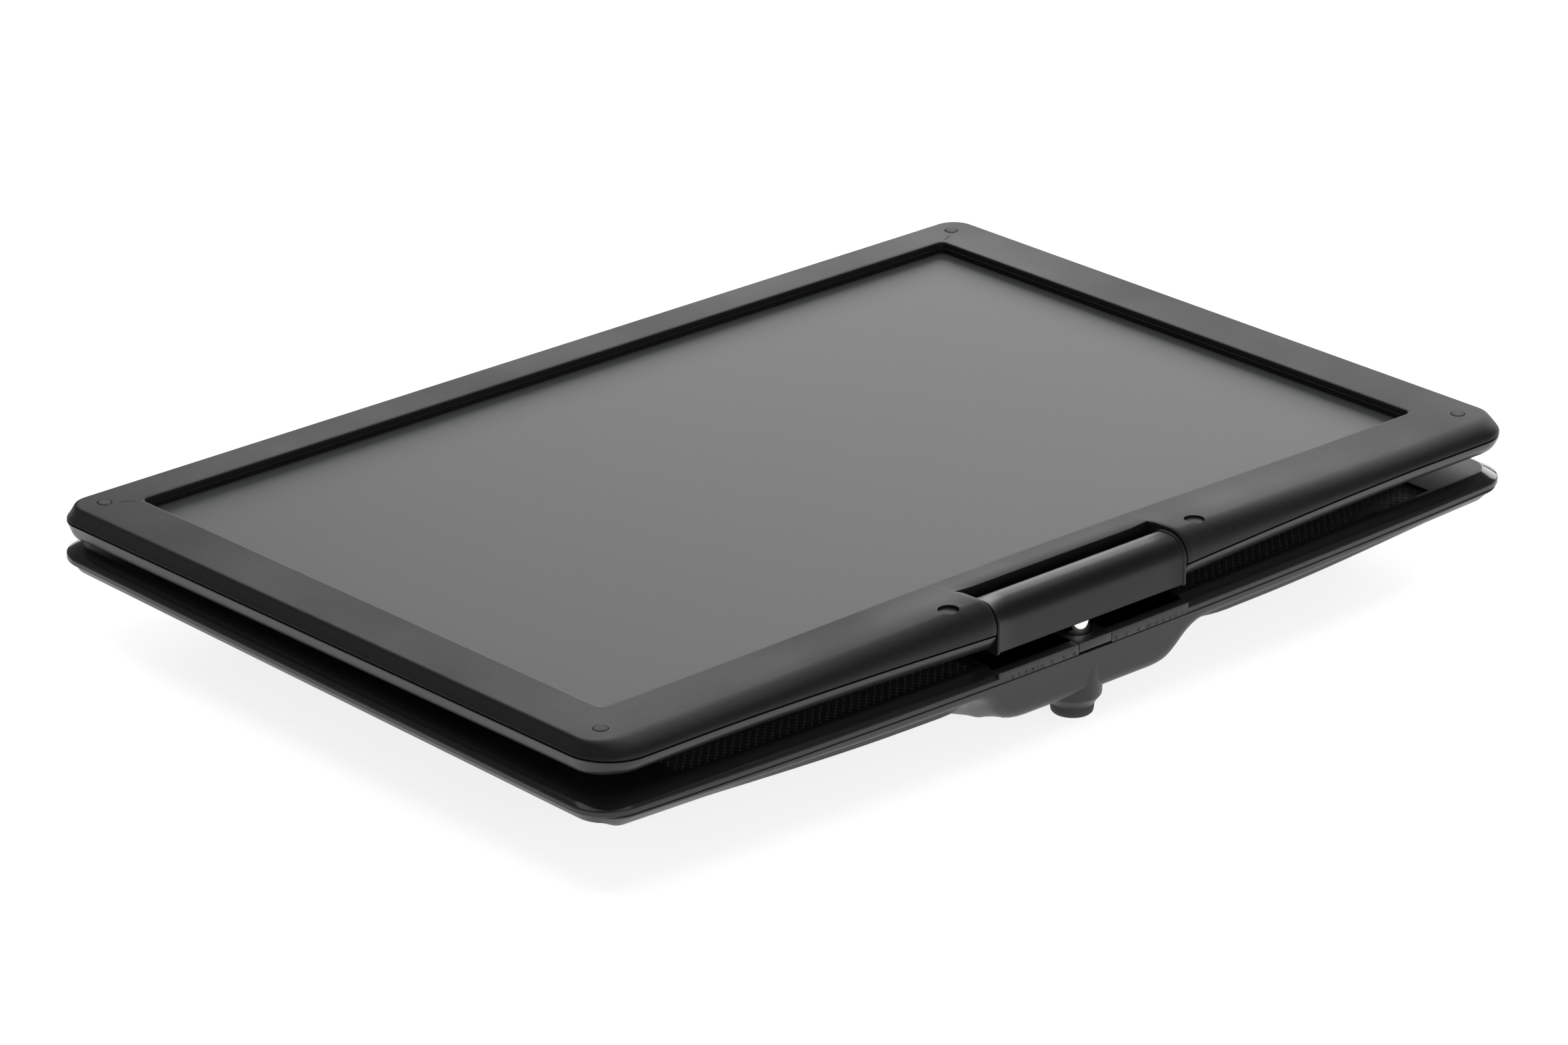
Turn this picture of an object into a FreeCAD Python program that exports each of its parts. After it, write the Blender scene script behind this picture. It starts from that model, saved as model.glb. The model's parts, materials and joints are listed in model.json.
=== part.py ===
import FreeCAD, Part
import math
import os

# Swivel-screen portable disc player, stored with its screen folded flat and facing up.
# Millimetres. +Z up, +X along the hinge edge, -Y towards the hinge, origin on the floor at the middle.

V = FreeCAD.Vector
X_AXIS = V(1, 0, 0)

# ---- working clearances ----
PIERCE = 1.0                 # how far a cut runs past the face it opens
TOUCH = 0.1                  # an edge this near a face lies on it
HAIRLINE = 0.1               # gap round a part that is fitted into another
PRESS_GAP = 0.05             # gap round a part that is pressed into another

# ---- base: plan ----
HALF_X = 149.2
HALF_Y = 102.5
CORNER = 10.5
BOW_RADIUS = 2630.0          # the hinge edge of the base is a very shallow arc

# ---- base: heights ----
SEAM_Z = 18.2
SEAM_GAP = 0.1
RIM_Z = 19.7
DECK_Z = 21.7
DECK_T = 1.8
BEVEL_W = 4.0
BOTTOM_Z = 4.3
WALL = 1.8
RIM_WALL = 2.4
MOUTH_DEPTH = 0.6            # height of the upright band inside the case below its seam
# (z, inset) of the dished bottom from the seam down
DISH = [(SEAM_Z - SEAM_GAP, 0.1), (16.4, 0.5), (15.0, 2.2), (5.2, 22.5), (BOTTOM_Z, 26.0)]
DISH_CORNER = 14.0           # plan corner of the dish, below its upright rim
# (z, half width, inset) of the hinge hump from its blend with the rim down
HUMP = [
    (17.0, 38.0, 0.6),
    (15.0, 33.0, 0.6),
    (12.5, 30.6, 0.6),
    (9.5, 28.2, 0.7),
    (7.4, 25.8, 1.4),
    (6.4, 22.5, 3.0),
]
HUMP_BACK_Y = -80.0
HUMP_SETBACK = 0.4
HUMP_CORNER = (5.0, 8.0)      # how far its two outer corners are cut back in plan, along x and y

# ---- swivel and tilt hinges ----
SWIVEL_Y = -95.3
TILT_Z = 31.5
SHAFT_R = 4.0
POST_R = 7.0
POST_BORE_R = 5.1
POST_SHOULDER_Z = 4.6
FOOT_TOP_Z = 2.4
FOOT_R = 5.3
FOOT_TAPER = 0.3
FOOT_EDGE = 0.6
POST_TOP_Z = 17.2
RUNNING = 0.06               # radial clearance of a running fit
PLINTH_HALF_X = 31.0
PLINTH_Z = 21.0
PLINTH_BACK_Y = -87.0
PLINTH_FLOOR_Z = SEAM_Z + 0.4
INSERT_HALF_X = 5.25
INSERT_GAP = 0.15
INSERT_BASE_Z = SEAM_Z + 0.5
INSERT_BORE_GAP = 0.25
BLOCK_HALF_X = 30.75
BLOCK_HALF_Y = 6.2
BLOCK_UP = 5.5
BLOCK_DOWN = 6.7
BLOCK_BORE_R = 4.2
BLOCK_BORE_X = 8.0
BLOCK_TOP_R = 5.4
BLOCK_EDGE_R = 1.0
SOCKET_Z = 28.4              # top of the shaft inside the block
SHAFT_BASE_Z = 6.4
NECK_R = 2.6
NECK_Z = 4.8
RETAINER_R = 4.6
RETAINER_Z = (5.1, 5.9)
PIN_R = 2.5
PIN_START_X = 9.6
PIN_END_X = 34.5
BUSH_X = (21.0, 30.4)
NUT_R = 3.9
NUT_T = 2.0
NUT_SETBACK = 0.4
WASHERS = 5
WASHER_T = 0.9
WASHER_PITCH = 1.5
WASHER_START_X = 12.4
ARM_END_X = 58.0
ARM_GAP = 0.4
ARM_Y = (-100.4, -89.6)
ARM_Z = (-5.0, -2.8)

# ---- screen, in its own frame: origin at the middle of the bezel's flat face ----
SCREEN_DROP_DEG = 1.0        # the folded screen leans down towards its far edge
TILT_LOCAL_Y = -97.8
TILT_LOCAL_Z = -3.8
SCREEN_HALF_X = 148.8
SCREEN_NEAR_Y = -102.0
SCREEN_FAR_Y = 98.4
SCREEN_CORNER_NEAR = 11.5
SCREEN_CORNER_FAR = 8.0
SCREEN_SEAM_Z = -3.5
# (z, inset at the sides and far edge, inset at the hinge edge)
SCREEN_SECTIONS = [
    (-8.0, 2.6, 3.4),
    (-7.2, 1.5, 1.8),
    (-3.5, 0.0, 0.0),
    (-2.0, 0.6, 0.7),
    (-0.8, 1.2, 2.4),
    (-0.2, 1.7, 4.6),
    (0.0, 2.2, 6.5),
]
SCREEN_SKIN = 1.6
SCREEN_ROOM_INSET = (2.0, 2.2)
SCREEN_POST_R = 3.4          # solid posts round the four bezel screws
WINDOW_HALF_X = 131.5
WINDOW_NEAR_Y = -81.0
WINDOW_FAR_Y = 85.2
LCD_HALF_X = 134.0
LCD_NEAR_Y = -82.9
LCD_FAR_Y = 87.1
LCD_TOP_Z = -2.85
PADS = [(sx * 139.5, sy * 90.1) for sx in (-1, 1) for sy in (-1, 1)]
PAD_R = 1.65
BEZEL_SCREW_R = 0.8
BEZEL_HEAD_R = 1.6
BEZEL_HEAD_Z = (-2.2, -1.2)
BEZEL_SCREW_Z = -6.6
BEZEL_HOLE_Z = -6.8
PAD_Z = (-1.1, 0.15)
PAD_EDGE = 0.3
PAD_GAP = 0.15
NOTCH_HALF_X = 31.15
NOTCH_Y = -90.0
BARREL_R = 6.3
ABOVE_BARREL_Z = 5.0
BARREL_END_R = 4.2
BARREL_END_X = 112.0
BARREL_PIN_R = PIN_R + 0.25
BARREL_PIN_END_X = 36.0
HINGE_SCREW_X = 40.1
HINGE_SCREW_Y = -97.0
HINGE_SCREW_HOLE_R = 2.5
HINGE_SCREW_R = 1.2
HINGE_SCREW_HOLE_Z = -1.9
HINGE_HEAD_GAP = 0.3
HINGE_HEAD_H = 1.5
HINGE_DRIVE = (1.2, 0.3)     # half length and half width of its driver slots
HINGE_SLOT_R = 1.4
HINGE_SLOT_IN = (6.0, 2.9)   # from the arm's end and from its long edges
LCD_BOARD = ((-70, 70), (-87.9, -83.3), (-5.9, -4.7))
LCD_BASE_Z = -4.0
BACKLIGHT_BASE_Z = -5.9

# ---- disc lid and well ----
DISC_X = -30.0
DISC_Y = 3.0
LID_R = 65.5
LID_T = 1.6
LID_GAP = 0.3
LID_OPENING_Z = SEAM_Z - 6.0
WELL_R = 62.5
WELL_FLOOR_Z = 15.2
LID_PIN_Y = -65.5
LID_PIN_Z = 18.9
LID_PIN_R = 1.2
LID_PIN_TOOL = 20.0
EAR_X = (-56.0, -4.0)
EAR_HALF_X = 4.0
EAR_GAP = 0.3
EAR_SLOT_Y = (LID_PIN_Y - 3.3, DISC_Y - 40.0)
EAR_SLOT_Z = LID_PIN_Z - 4.0
EAR_BACK_Y = DISC_Y - 54.0
EAR_DROP = 1.2               # from the pin's axis to the underside of an ear
EAR_JOIN = 0.2               # overlap of an ear with the lid's plate
TAB_HALF_X = 3.0
TAB_Y = (DISC_Y + 63.4, DISC_Y + 65.0)
TAB_Z = (WELL_FLOOR_Z + 1.2, DECK_Z - 0.5)
LUG_HALF_X = 2.0
LUG_HALF_Y = 2.4
LUG_REACH = 9.0              # from an ear's middle past the outer faces of its two lugs
KNUCKLE_R = 2.2
WELL_WALL = 2.0
WELL_FLANGE_W = 6.5
WELL_FLOOR_T = 1.6
WELL_FLANGE_T = 1.1
WELL_EAR_Y = (LID_PIN_Y - 8.0, DISC_Y - 50.0)
WELL_EAR_GAP = 0.8
WELL_EAR_Z = WELL_FLOOR_Z + 0.2
WELL_TAB_Y = (DISC_Y + 60.0, DISC_Y + 75.0)
WELL_TAB_GAP = 0.4
WELL_TAB_Z = WELL_FLOOR_Z + 0.7
CATCH_HALF_X = 2.5
CATCH_T = 0.5
CATCH_Y = DISC_Y + 65.6
CATCH_Z = (12.5, 18.2)
CATCH_BASE_LENGTH = 7.0
CLAMP_R = 17.0               # opening in the well's floor for the turntable
SLED_SLOT_X = (10.0, 61.0)   # from the disc's centre

# ---- disc mechanism ----
MECH_Z = 9.7                 # height of the guide rods and the feed screw
RAIL_R = 1.5
RAIL_Y = (-19.0, 21.0)
FEED_Y = 26.6
FEED_R = 1.4
SLED_X = (-16.0, 4.0)
SLED_TRAVEL = 34.0
WINDOW_X = (-17.3, SLED_X[1] + SLED_TRAVEL + 2.0)
CHASSIS_X = (-58.0, 46.0)
CHASSIS_Y = (-30.0, 36.0)
CHASSIS_Z = (6.6, 12.8)
CHASSIS_BORDER = 5.0
CHASSIS_HOLE_R = 3.0
CHASSIS_HOLE_X = (-52.0, -44.0)
CHASSIS_HOLE_Y = (-24.0, 30.0)
ROD_X = (WINDOW_X[0] - 1.0, WINDOW_X[1] + 3.0)
SLED_Z = (7.4, 12.4)
SLED_HALF_Y = 14.0
SLED_ARM_TOP_Z = 12.0
SLED_ARM_INSET = 2.0
SLED_ARM_Y = (RAIL_Y[0] - 3.0, FEED_Y + 2.6)
SLED_SLOT_HALF_Y = 9.0
LENS_X = -6.0
LENS_R = 2.5
LENS_HOLDER_R = 4.2
LENS_GAP = 0.2
LENS_GLASS = (0.6, 0.3)      # glass above the holder's underside and below its top
LENS_Z = (11.4, 13.2)        # the holder passes 0.4 mm below the well's floor
SPINDLE_R = 0.9
MOTOR_R = 11.0
MOTOR_Z = (6.6, 13.8)
MOTOR_GAP = 0.2
SPINDLE_Z = MOTOR_Z[0] + 0.9
TURNTABLE_R = 14.5
TURNTABLE_Z = (14.4, 16.4)
HUB_R = (7.4, 6.4)
HUB_H = 2.2
BALL_R = 1.2
BALL_RING_R = 6.1
BALL_Z = 17.3
BALL_ANGLES = (90, 210, 330)
FEED_MOTOR_R = 3.4
FEED_MOTOR_X = (CHASSIS_X[1] + 0.2, CHASSIS_X[1] + 13.0)
FEED_MOTOR_BORE_X = CHASSIS_X[1] + 6.0
FEED_HOLE_GAP = 0.2
FEED_NUT_GAP = 0.15
FEED_X = (SLED_X[0] - 0.8, CHASSIS_X[1] + 5.0)

# ---- controls ----
KEY_TOP_Z = 22.2
KEY_BASE_Z = 17.8
KEY_GAP = 0.3
NAV_X = 100.0
NAV_Y = 8.0
NAV_R = 15.0
ENTER_R = 6.6
ROUND_KEYS = {"menu_key": 82.0, "stop_key": 100.0, "play_key": 118.0}
ROUND_KEY_Y = -24.0
ROUND_KEY_R = 5.0
OPEN_KEY = (-30.0, 83.0)
OPEN_KEY_HALF_X = 11.0
OPEN_KEY_HALF_Y = 3.5
KEY_EDGE = 0.5
IR_WINDOW = (62.0, 88.0)
IR_HALF_X = 8.0
IR_HALF_Y = 3.0
LIGHT_X = (82.0, 90.0, 98.0)
LIGHT_Y = 88.0
LIGHT_R = 1.2
LIGHT_BASE_Z = 18.6
IR_DEPTH = 1.0

# ---- connector block on the right side ----
BLOCK_FACE_X = 147.6
BLOCK_INNER_X = 112.0
BLOCK_Y = (-48.0, 58.0)
BLOCK_BOTTOM_Z = 7.0
BLOCK_EDGE = 3.0
JACK_NOSE_R = 2.8
JACK_DEPTH = 12.5
DC_NOSE_R = 3.7
DC_BORE_R = 2.85
DC_DEPTH = 9.5
DC_PIN_R = 0.65
NOSE_GAP = 0.2
JACK_Z = 13.4
JACK_BORE_R = 1.8
JACK_BACK_X = 134.0
JACK_HALF_Y = 4.5
JACK_BODY_Z = (9.0, 17.6)
JACK_NOSE_X = 140.0
CONNECTOR_ROOM_X = 100.0
HEADPHONE_Y = (46.0, 32.0)
AV_Y = 18.0
DC_Y = 3.0
WHEEL_X = 140.2
WHEEL_Y = -18.0
WHEEL_R = 8.6
WHEEL_Z = (11.8, 15.0)
WHEEL_SLOT_HALF = 7.6
WHEEL_POST_R = 1.5
WHEEL_SLOT_GAP = 0.4
WHEEL_POST_BASE_Z = BLOCK_BOTTOM_Z + 2.0
WHEEL_POST_RISE = 1.6
WHEEL_END_GAP = 0.3
KNURLS = 40
KNURL_R = 0.45
KNURL_OUT = 0.25
SLIDE_Y = -38.0
SLIDE_X = 142.6
SLIDE_TRAVEL = 3.0
SLIDE_KNOB = 4.2
SLIDE_GAP = 0.4
SLIDE_SLOT_HALF_Z = 1.6
SLIDE_PROUD = 1.2
SLIDE_HALF_Z = 1.3
SLIDE_PLATE_T = 2.0
SLIDE_PLATE_LAP = 2.0
SLIDE_PLATE_HALF_Z = 3.0

# ---- grilles, feet and screws ----
GRILLE_X = (32.6, 122.4)
GRILLE_INSET = (5.2, 13.8)
GRILLE_Z = (19.9, 20.9)
GRILLE_BACK_Y = -60.0
GRILLE_FLOOR_Z = SEAM_Z + 0.5
FOOT_POINTS = [(-104, -62), (104, -62), (-104, 62), (104, 62)]
PAD_FOOT_R = 7.0
PAD_FOOT_TAPER = 0.5
PAD_FOOT_EDGE = 0.8
SCREW_POINTS = [(-116, -48), (116, -50), (-116, 48), (117, 68), (40, -66), (42, 72)]
SCREW_POST_R = 3.2
SCREW_R = 1.3
SCREW_HEAD_R = 2.8
SCREW_GAP = 0.3
SCREW_HOLE_Z = BOTTOM_Z + 3.0
SCREW_HEAD_Z = (BOTTOM_Z - 0.2, BOTTOM_Z + 0.8)
SCREW_END_Z = SEAM_Z - 0.2
SCREW_DRIVE_Z = BOTTOM_Z + 0.3
SCREW_POST_Z = BOTTOM_Z + 2.9
COUNTERBORE_GAP = 0.4
COUNTERBORE_Z = BOTTOM_Z + 0.9
DRIVE_HALF = 1.4             # half length of a driver slot
DRIVE_HALF_W = 0.35

# ---- inner parts, as x, y and z ranges ----
SPEAKER_X = (52.0, 92.0)
SPEAKER_Y = (-91.0, -81.0)
SPEAKER_Z = (14.6, 19.2)
SPEAKER_CONE_R = 4.2
BATTERY = ((50, 104), (-62, -12), (6.5, 13.0))
BATTERY_EDGE = 1.5
MAIN_BOARD = ((61, 133), (-9, 55), (9.0, 10.4))
MAIN_CHIP = ((70, 88), (14, 32), (10.4, 12.2))
TUNER_CAN = ((95, 107), (30, 44), (10.4, 13.4))
KEY_BOARD = ((74, 128), (-32, 26), (15.6, 16.8))
BEYOND = 200.0               # larger than the whole object


# ---------------------------------------------------------------- helpers
def box(x, y, z):
    """A block between two values along each axis."""
    return Part.makeBox(x[1] - x[0], y[1] - y[0], z[1] - z[0], V(x[0], y[0], z[0]))


def rod(radius, start, end):
    """A round bar from one point to another."""
    start = V(*start)
    run = V(*end) - start
    return Part.makeCylinder(radius, run.Length, start, run)


def ring(outer, inner, start, end):
    return rod(outer, start, end).cut(rod(inner, start, end))


def pill(cx, cy, half_x, half_y, z):
    """An upright block with round ends."""
    middle = box((cx - half_x + half_y, cx + half_x - half_y), (cy - half_y, cy + half_y), z)
    ends = [rod(half_y, (cx + s * (half_x - half_y), cy, z[0]), (cx + s * (half_x - half_y), cy, z[1]))
            for s in (-1, 1)]
    return middle.fuse(ends).removeSplitter()


def arc_through(a, b, c):
    return Part.Arc(a, b, c).toShape()


def corner_arc(cx, cy, radius, start_deg, end_deg, z):
    def point(deg):
        rad = math.radians(deg)
        return V(cx + radius * math.cos(rad), cy + radius * math.sin(rad), z)
    return arc_through(point(start_deg), point((start_deg + end_deg) / 2), point(end_deg))


def closed(edges):
    """Join arcs given in order with straight lines and close the loop."""
    wire = []
    for this, following in zip(edges, edges[1:] + edges[:1]):
        wire.append(this)
        a = this.valueAt(this.LastParameter)
        b = following.valueAt(following.FirstParameter)
        if a.distanceToPoint(b) > 1e-6:
            wire.append(Part.makeLine(a, b))
    return Part.Wire(wire)


def base_outline(inset, z, corner=None):
    """Plan of the base: straight sides and far edge, shallow arc on the hinge edge."""
    r = CORNER if corner is None else corner
    half = HALF_X - inset
    far = HALF_Y - inset
    bow_y = -HALF_Y + inset + BOW_RADIUS
    cx = half - r
    cy = bow_y - math.sqrt((BOW_RADIUS - r) ** 2 - cx ** 2)
    lean = math.degrees(math.asin(cx / (BOW_RADIUS - r)))
    right = corner_arc(cx, cy, r, -90 + lean, 0, z)
    far_right = corner_arc(cx, far - r, r, 0, 90, z)
    far_left = corner_arc(-cx, far - r, r, 90, 180, z)
    left = corner_arc(-cx, cy, r, 180, 270 - lean, z)
    start = left.valueAt(left.LastParameter)
    end = right.valueAt(right.FirstParameter)
    bow = arc_through(start, V(0, bow_y - BOW_RADIUS, z), end)
    return closed([bow, right, far_right, far_left, left])


def screen_outline(side, near, z):
    """Plan of the screen housing, with one inset for the hinge edge and one for the others."""
    half = SCREEN_HALF_X - side
    low = SCREEN_NEAR_Y + near
    far = SCREEN_FAR_Y - side
    r = SCREEN_CORNER_NEAR - side
    s = SCREEN_CORNER_FAR - side
    return closed([
        corner_arc(half - r, low + r, r, -90, 0, z),
        corner_arc(half - s, far - s, s, 0, 90, z),
        corner_arc(s - half, far - s, s, 90, 180, z),
        corner_arc(r - half, low + r, r, 180, 270, z),
    ])


def stack(wires):
    """A solid through a column of outlines."""
    return Part.makeLoft(wires, True, True)


def prism(wire, height):
    return Part.Face(wire).extrude(V(0, 0, height))


def fused(shapes):
    return shapes[0].fuse(shapes[1:]).removeSplitter()


def group(solids):
    return Part.Compound(solids)


def place_screen(shape):
    """Move a piece from the screen's frame to its folded place on the tilt axis."""
    moved = shape.copy()
    moved.translate(V(0, SWIVEL_Y - TILT_LOCAL_Y, TILT_Z - TILT_LOCAL_Z))
    moved.rotate(V(0, SWIVEL_Y, TILT_Z), X_AXIS, -SCREEN_DROP_DEG)
    return moved


# ---------------------------------------------------------------- base shells
def hump():
    """Hinge hump under the plinth: it narrows downwards and carries the swivel post."""
    wires = []
    for z, half, inset in HUMP:
        low = -HALF_Y + inset + HUMP_SETBACK
        wide = half + HUMP_CORNER[0]
        shoulder_y = low + HUMP_CORNER[1]
        corners = [V(-half, low, z), V(half, low, z), V(wide, shoulder_y, z), V(wide, HUMP_BACK_Y, z),
                   V(-wide, HUMP_BACK_Y, z), V(-wide, shoulder_y, z)]
        wires.append(Part.makePolygon(corners + corners[:1]))
    return stack(wires)


def dish(offset, lift):
    """The bottom case's outer or inner form."""
    wires = []
    for z, inset in DISH:
        spread = min(1.0, inset / DISH[2][1])
        wires.append(base_outline(inset + offset, z + lift, CORNER + (DISH_CORNER - CORNER) * spread))
    return stack(wires)


def make_bottom_case():
    connector = box((BLOCK_INNER_X, BLOCK_FACE_X), BLOCK_Y, (BLOCK_BOTTOM_Z, SEAM_Z - SEAM_GAP))
    connector = connector.makeFillet(BLOCK_EDGE, [e for e in connector.Edges if is_outer_edge(e)])
    post = rod(POST_R, (0, SWIVEL_Y, POST_SHOULDER_Z), (0, SWIVEL_Y, POST_TOP_Z))
    shoulder = Part.makeCone(FOOT_R, POST_R, POST_SHOULDER_Z - FOOT_TOP_Z, V(0, SWIVEL_Y, FOOT_TOP_Z))
    outer = fused([dish(0, 0), hump(), connector])
    room = dish(WALL, WALL).fuse(prism(base_outline(DISH[0][1] + WALL, SEAM_Z - MOUTH_DEPTH), PIERCE))
    connector_room = box((CONNECTOR_ROOM_X, BLOCK_FACE_X - WALL), (BLOCK_Y[0] + WALL, BLOCK_Y[1] - WALL),
                         (BLOCK_BOTTOM_Z + WALL, SEAM_Z))
    shell = outer.cut(room.fuse(connector_room))
    shell = shell.fuse([post, shoulder])
    cuts = [rod(POST_BORE_R, (0, SWIVEL_Y, POST_SHOULDER_Z), (0, SWIVEL_Y, SEAM_Z))]
    for x, y in SCREW_POINTS:
        cuts.append(rod(SCREW_R + SCREW_GAP, (x, y, BOTTOM_Z - PIERCE), (x, y, SCREW_HOLE_Z)))
        below = (x, y, BOTTOM_Z - PIERCE)
        cuts.append(rod(SCREW_HEAD_R + COUNTERBORE_GAP, below, (x, y, COUNTERBORE_Z)))
    cuts += connector_holes()
    return shell.cut(cuts).removeSplitter()


def is_outer_edge(edge):
    """Edges of the connector block along its exposed lower side and its two ends."""
    low = edge.BoundBox.ZMax < BLOCK_BOTTOM_Z + TOUCH and edge.BoundBox.XMin > BLOCK_INNER_X - TOUCH
    upright = edge.BoundBox.ZLength > 1 and edge.BoundBox.XMin > BLOCK_FACE_X - TOUCH
    return (low and edge.BoundBox.XMax > BLOCK_FACE_X - TOUCH) or upright


def connector_holes():
    """Holes in the connector block's outer wall for the jacks, the wheel and the slide."""
    inside = BLOCK_FACE_X - 3 * WALL
    outside = BLOCK_FACE_X + PIERCE
    jack_r = JACK_NOSE_R + NOSE_GAP
    holes = [rod(jack_r, (inside, y, JACK_Z), (outside, y, JACK_Z)) for y in HEADPHONE_Y + (AV_Y,)]
    holes.append(rod(DC_NOSE_R + NOSE_GAP, (inside, DC_Y, JACK_Z), (outside, DC_Y, JACK_Z)))
    wheel_slot = (WHEEL_Y - WHEEL_SLOT_HALF, WHEEL_Y + WHEEL_SLOT_HALF)
    slot_z = (WHEEL_Z[0] - WHEEL_SLOT_GAP, WHEEL_Z[1] + WHEEL_SLOT_GAP)
    holes.append(box((inside, outside), wheel_slot, slot_z))
    slot_half = (SLIDE_KNOB + SLIDE_TRAVEL) / 2 + SLIDE_GAP
    slide_slot = (SLIDE_Y - slot_half, SLIDE_Y + slot_half)
    slide_z = (JACK_Z - SLIDE_SLOT_HALF_Z, JACK_Z + SLIDE_SLOT_HALF_Z)
    holes.append(box((inside, outside), slide_slot, slide_z))
    return holes


def grille_band(x, z, margin):
    """A strip of the deck that follows the hinge edge, between two x values."""
    wide = prism(base_outline(GRILLE_INSET[0] + margin, z[0]), z[1] - z[0])
    narrow = prism(base_outline(GRILLE_INSET[1] - margin, z[0] - PIERCE), z[1] - z[0] + 2 * PIERCE)
    keep = box((x[0] + margin, x[1] - margin), (-HALF_Y, GRILLE_BACK_Y), (z[0] - PIERCE, z[1] + PIERCE))
    return wide.cut(narrow).common(keep)


def make_top_cover():
    rim = prism(base_outline(0, SEAM_Z), RIM_Z - SEAM_Z)
    bevel = stack([base_outline(0, RIM_Z), base_outline(BEVEL_W, DECK_Z, CORNER - BEVEL_W)])
    room = prism(base_outline(RIM_WALL, SEAM_Z - PIERCE), DECK_Z - DECK_T - SEAM_Z + PIERCE)
    cover = rim.fuse(bevel).cut(room)
    # plinth: a level pad between the two grilles, flush with the rim
    plinth_y = (-HALF_Y - 1, PLINTH_BACK_Y)
    above = box((-PLINTH_HALF_X, PLINTH_HALF_X), plinth_y, (PLINTH_Z, DECK_Z + 1))
    pad = prism(base_outline(0, SEAM_Z), PLINTH_Z - SEAM_Z)
    pad = pad.common(box((-PLINTH_HALF_X, PLINTH_HALF_X), plinth_y, (SEAM_Z, PLINTH_Z)))
    pad = pad.cut(rod(POST_BORE_R + HAIRLINE, (0, SWIVEL_Y, SEAM_Z - PIERCE), (0, SWIVEL_Y, PLINTH_FLOOR_Z)))
    cover = cover.cut(above).fuse(pad)
    posts = [rod(SCREW_POST_R, (x, y, SCREW_POST_Z), (x, y, DECK_Z - 1)) for x, y in SCREW_POINTS]
    lug_y = (LID_PIN_Y - LUG_HALF_Y, LID_PIN_Y + LUG_HALF_Y)
    lug_z = (LID_PIN_Z - LUG_HALF_Y, DECK_Z - 1)
    lug_x = [x + s * (EAR_HALF_X + LUG_HALF_X + EAR_GAP) for x in EAR_X for s in (-1, 1)]
    lugs = [box((x - LUG_HALF_X, x + LUG_HALF_X), lug_y, lug_z) for x in lug_x]
    cover = cover.fuse(posts + lugs)
    through = (DECK_Z - 2 * DECK_T, DECK_Z + PIERCE)
    cuts = [rod(LID_R + LID_GAP, (DISC_X, DISC_Y, LID_OPENING_Z), (DISC_X, DISC_Y, through[1]))]
    cuts.append(box((-INSERT_HALF_X - INSERT_GAP, INSERT_HALF_X + INSERT_GAP), plinth_y,
                    (PLINTH_FLOOR_Z, DECK_Z + PIERCE)))
    cuts += [rod(SCREW_R + PRESS_GAP, (x, y, BOTTOM_Z), (x, y, DECK_Z - 2)) for x, y in SCREW_POINTS]
    for x in EAR_X:
        slot_x = (x - EAR_HALF_X - EAR_GAP, x + EAR_HALF_X + EAR_GAP)
        cuts.append(box(slot_x, EAR_SLOT_Y, (EAR_SLOT_Z, through[1])))
        start = (x - LUG_REACH, LID_PIN_Y, LID_PIN_Z)
        cuts.append(rod(LID_PIN_R + RUNNING, start, (x + LUG_REACH, LID_PIN_Y, LID_PIN_Z)))
    for side in (-1, 1):
        x = sorted((side * GRILLE_X[0], side * GRILLE_X[1]))
        cuts.append(grille_band(x, (GRILLE_FLOOR_Z, DECK_Z + PIERCE), 0))
    cuts.append(rod(NAV_R + KEY_GAP, (NAV_X, NAV_Y, through[0]), (NAV_X, NAV_Y, through[1])))
    cuts += [rod(ROUND_KEY_R + KEY_GAP, (x, ROUND_KEY_Y, through[0]), (x, ROUND_KEY_Y, through[1]))
             for x in ROUND_KEYS.values()]
    cuts.append(pill(*OPEN_KEY, OPEN_KEY_HALF_X + KEY_GAP, OPEN_KEY_HALF_Y + KEY_GAP, through))
    cuts.append(pill(*IR_WINDOW, IR_HALF_X, IR_HALF_Y, (DECK_Z - IR_DEPTH, DECK_Z + PIERCE)))
    cuts += [rod(LIGHT_R, (x, LIGHT_Y, through[0]), (x, LIGHT_Y, through[1])) for x in LIGHT_X]
    return cover.cut(cuts).removeSplitter()


def make_swivel_insert():
    plan = prism(base_outline(0, INSERT_BASE_Z), PLINTH_Z - INSERT_BASE_Z)
    keep = box((-INSERT_HALF_X, INSERT_HALF_X), (-HALF_Y - 1, PLINTH_BACK_Y - INSERT_GAP), (SEAM_Z, PLINTH_Z))
    return plan.common(keep).cut(rod(SHAFT_R + INSERT_BORE_GAP, (0, SWIVEL_Y, SEAM_Z), (0, SWIVEL_Y, DECK_Z)))


def make_swivel_bush():
    base = (0, SWIVEL_Y, SHAFT_BASE_Z)
    return ring(POST_BORE_R - PRESS_GAP, SHAFT_R + RUNNING, base, (0, SWIVEL_Y, SEAM_Z))


def make_post_foot():
    cap = Part.makeCone(FOOT_R - FOOT_TAPER, FOOT_R, FOOT_TOP_Z, V(0, SWIVEL_Y, 0))
    return cap.makeFillet(FOOT_EDGE, [e for e in cap.Edges if e.BoundBox.ZMax < TOUCH])


def make_rubber_feet():
    feet = []
    for x, y in FOOT_POINTS:
        foot = Part.makeCone(PAD_FOOT_R - PAD_FOOT_TAPER, PAD_FOOT_R, BOTTOM_Z, V(x, y, 0))
        feet.append(foot.makeFillet(PAD_FOOT_EDGE, [e for e in foot.Edges if e.BoundBox.ZMax < TOUCH]))
    return group(feet)


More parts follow.
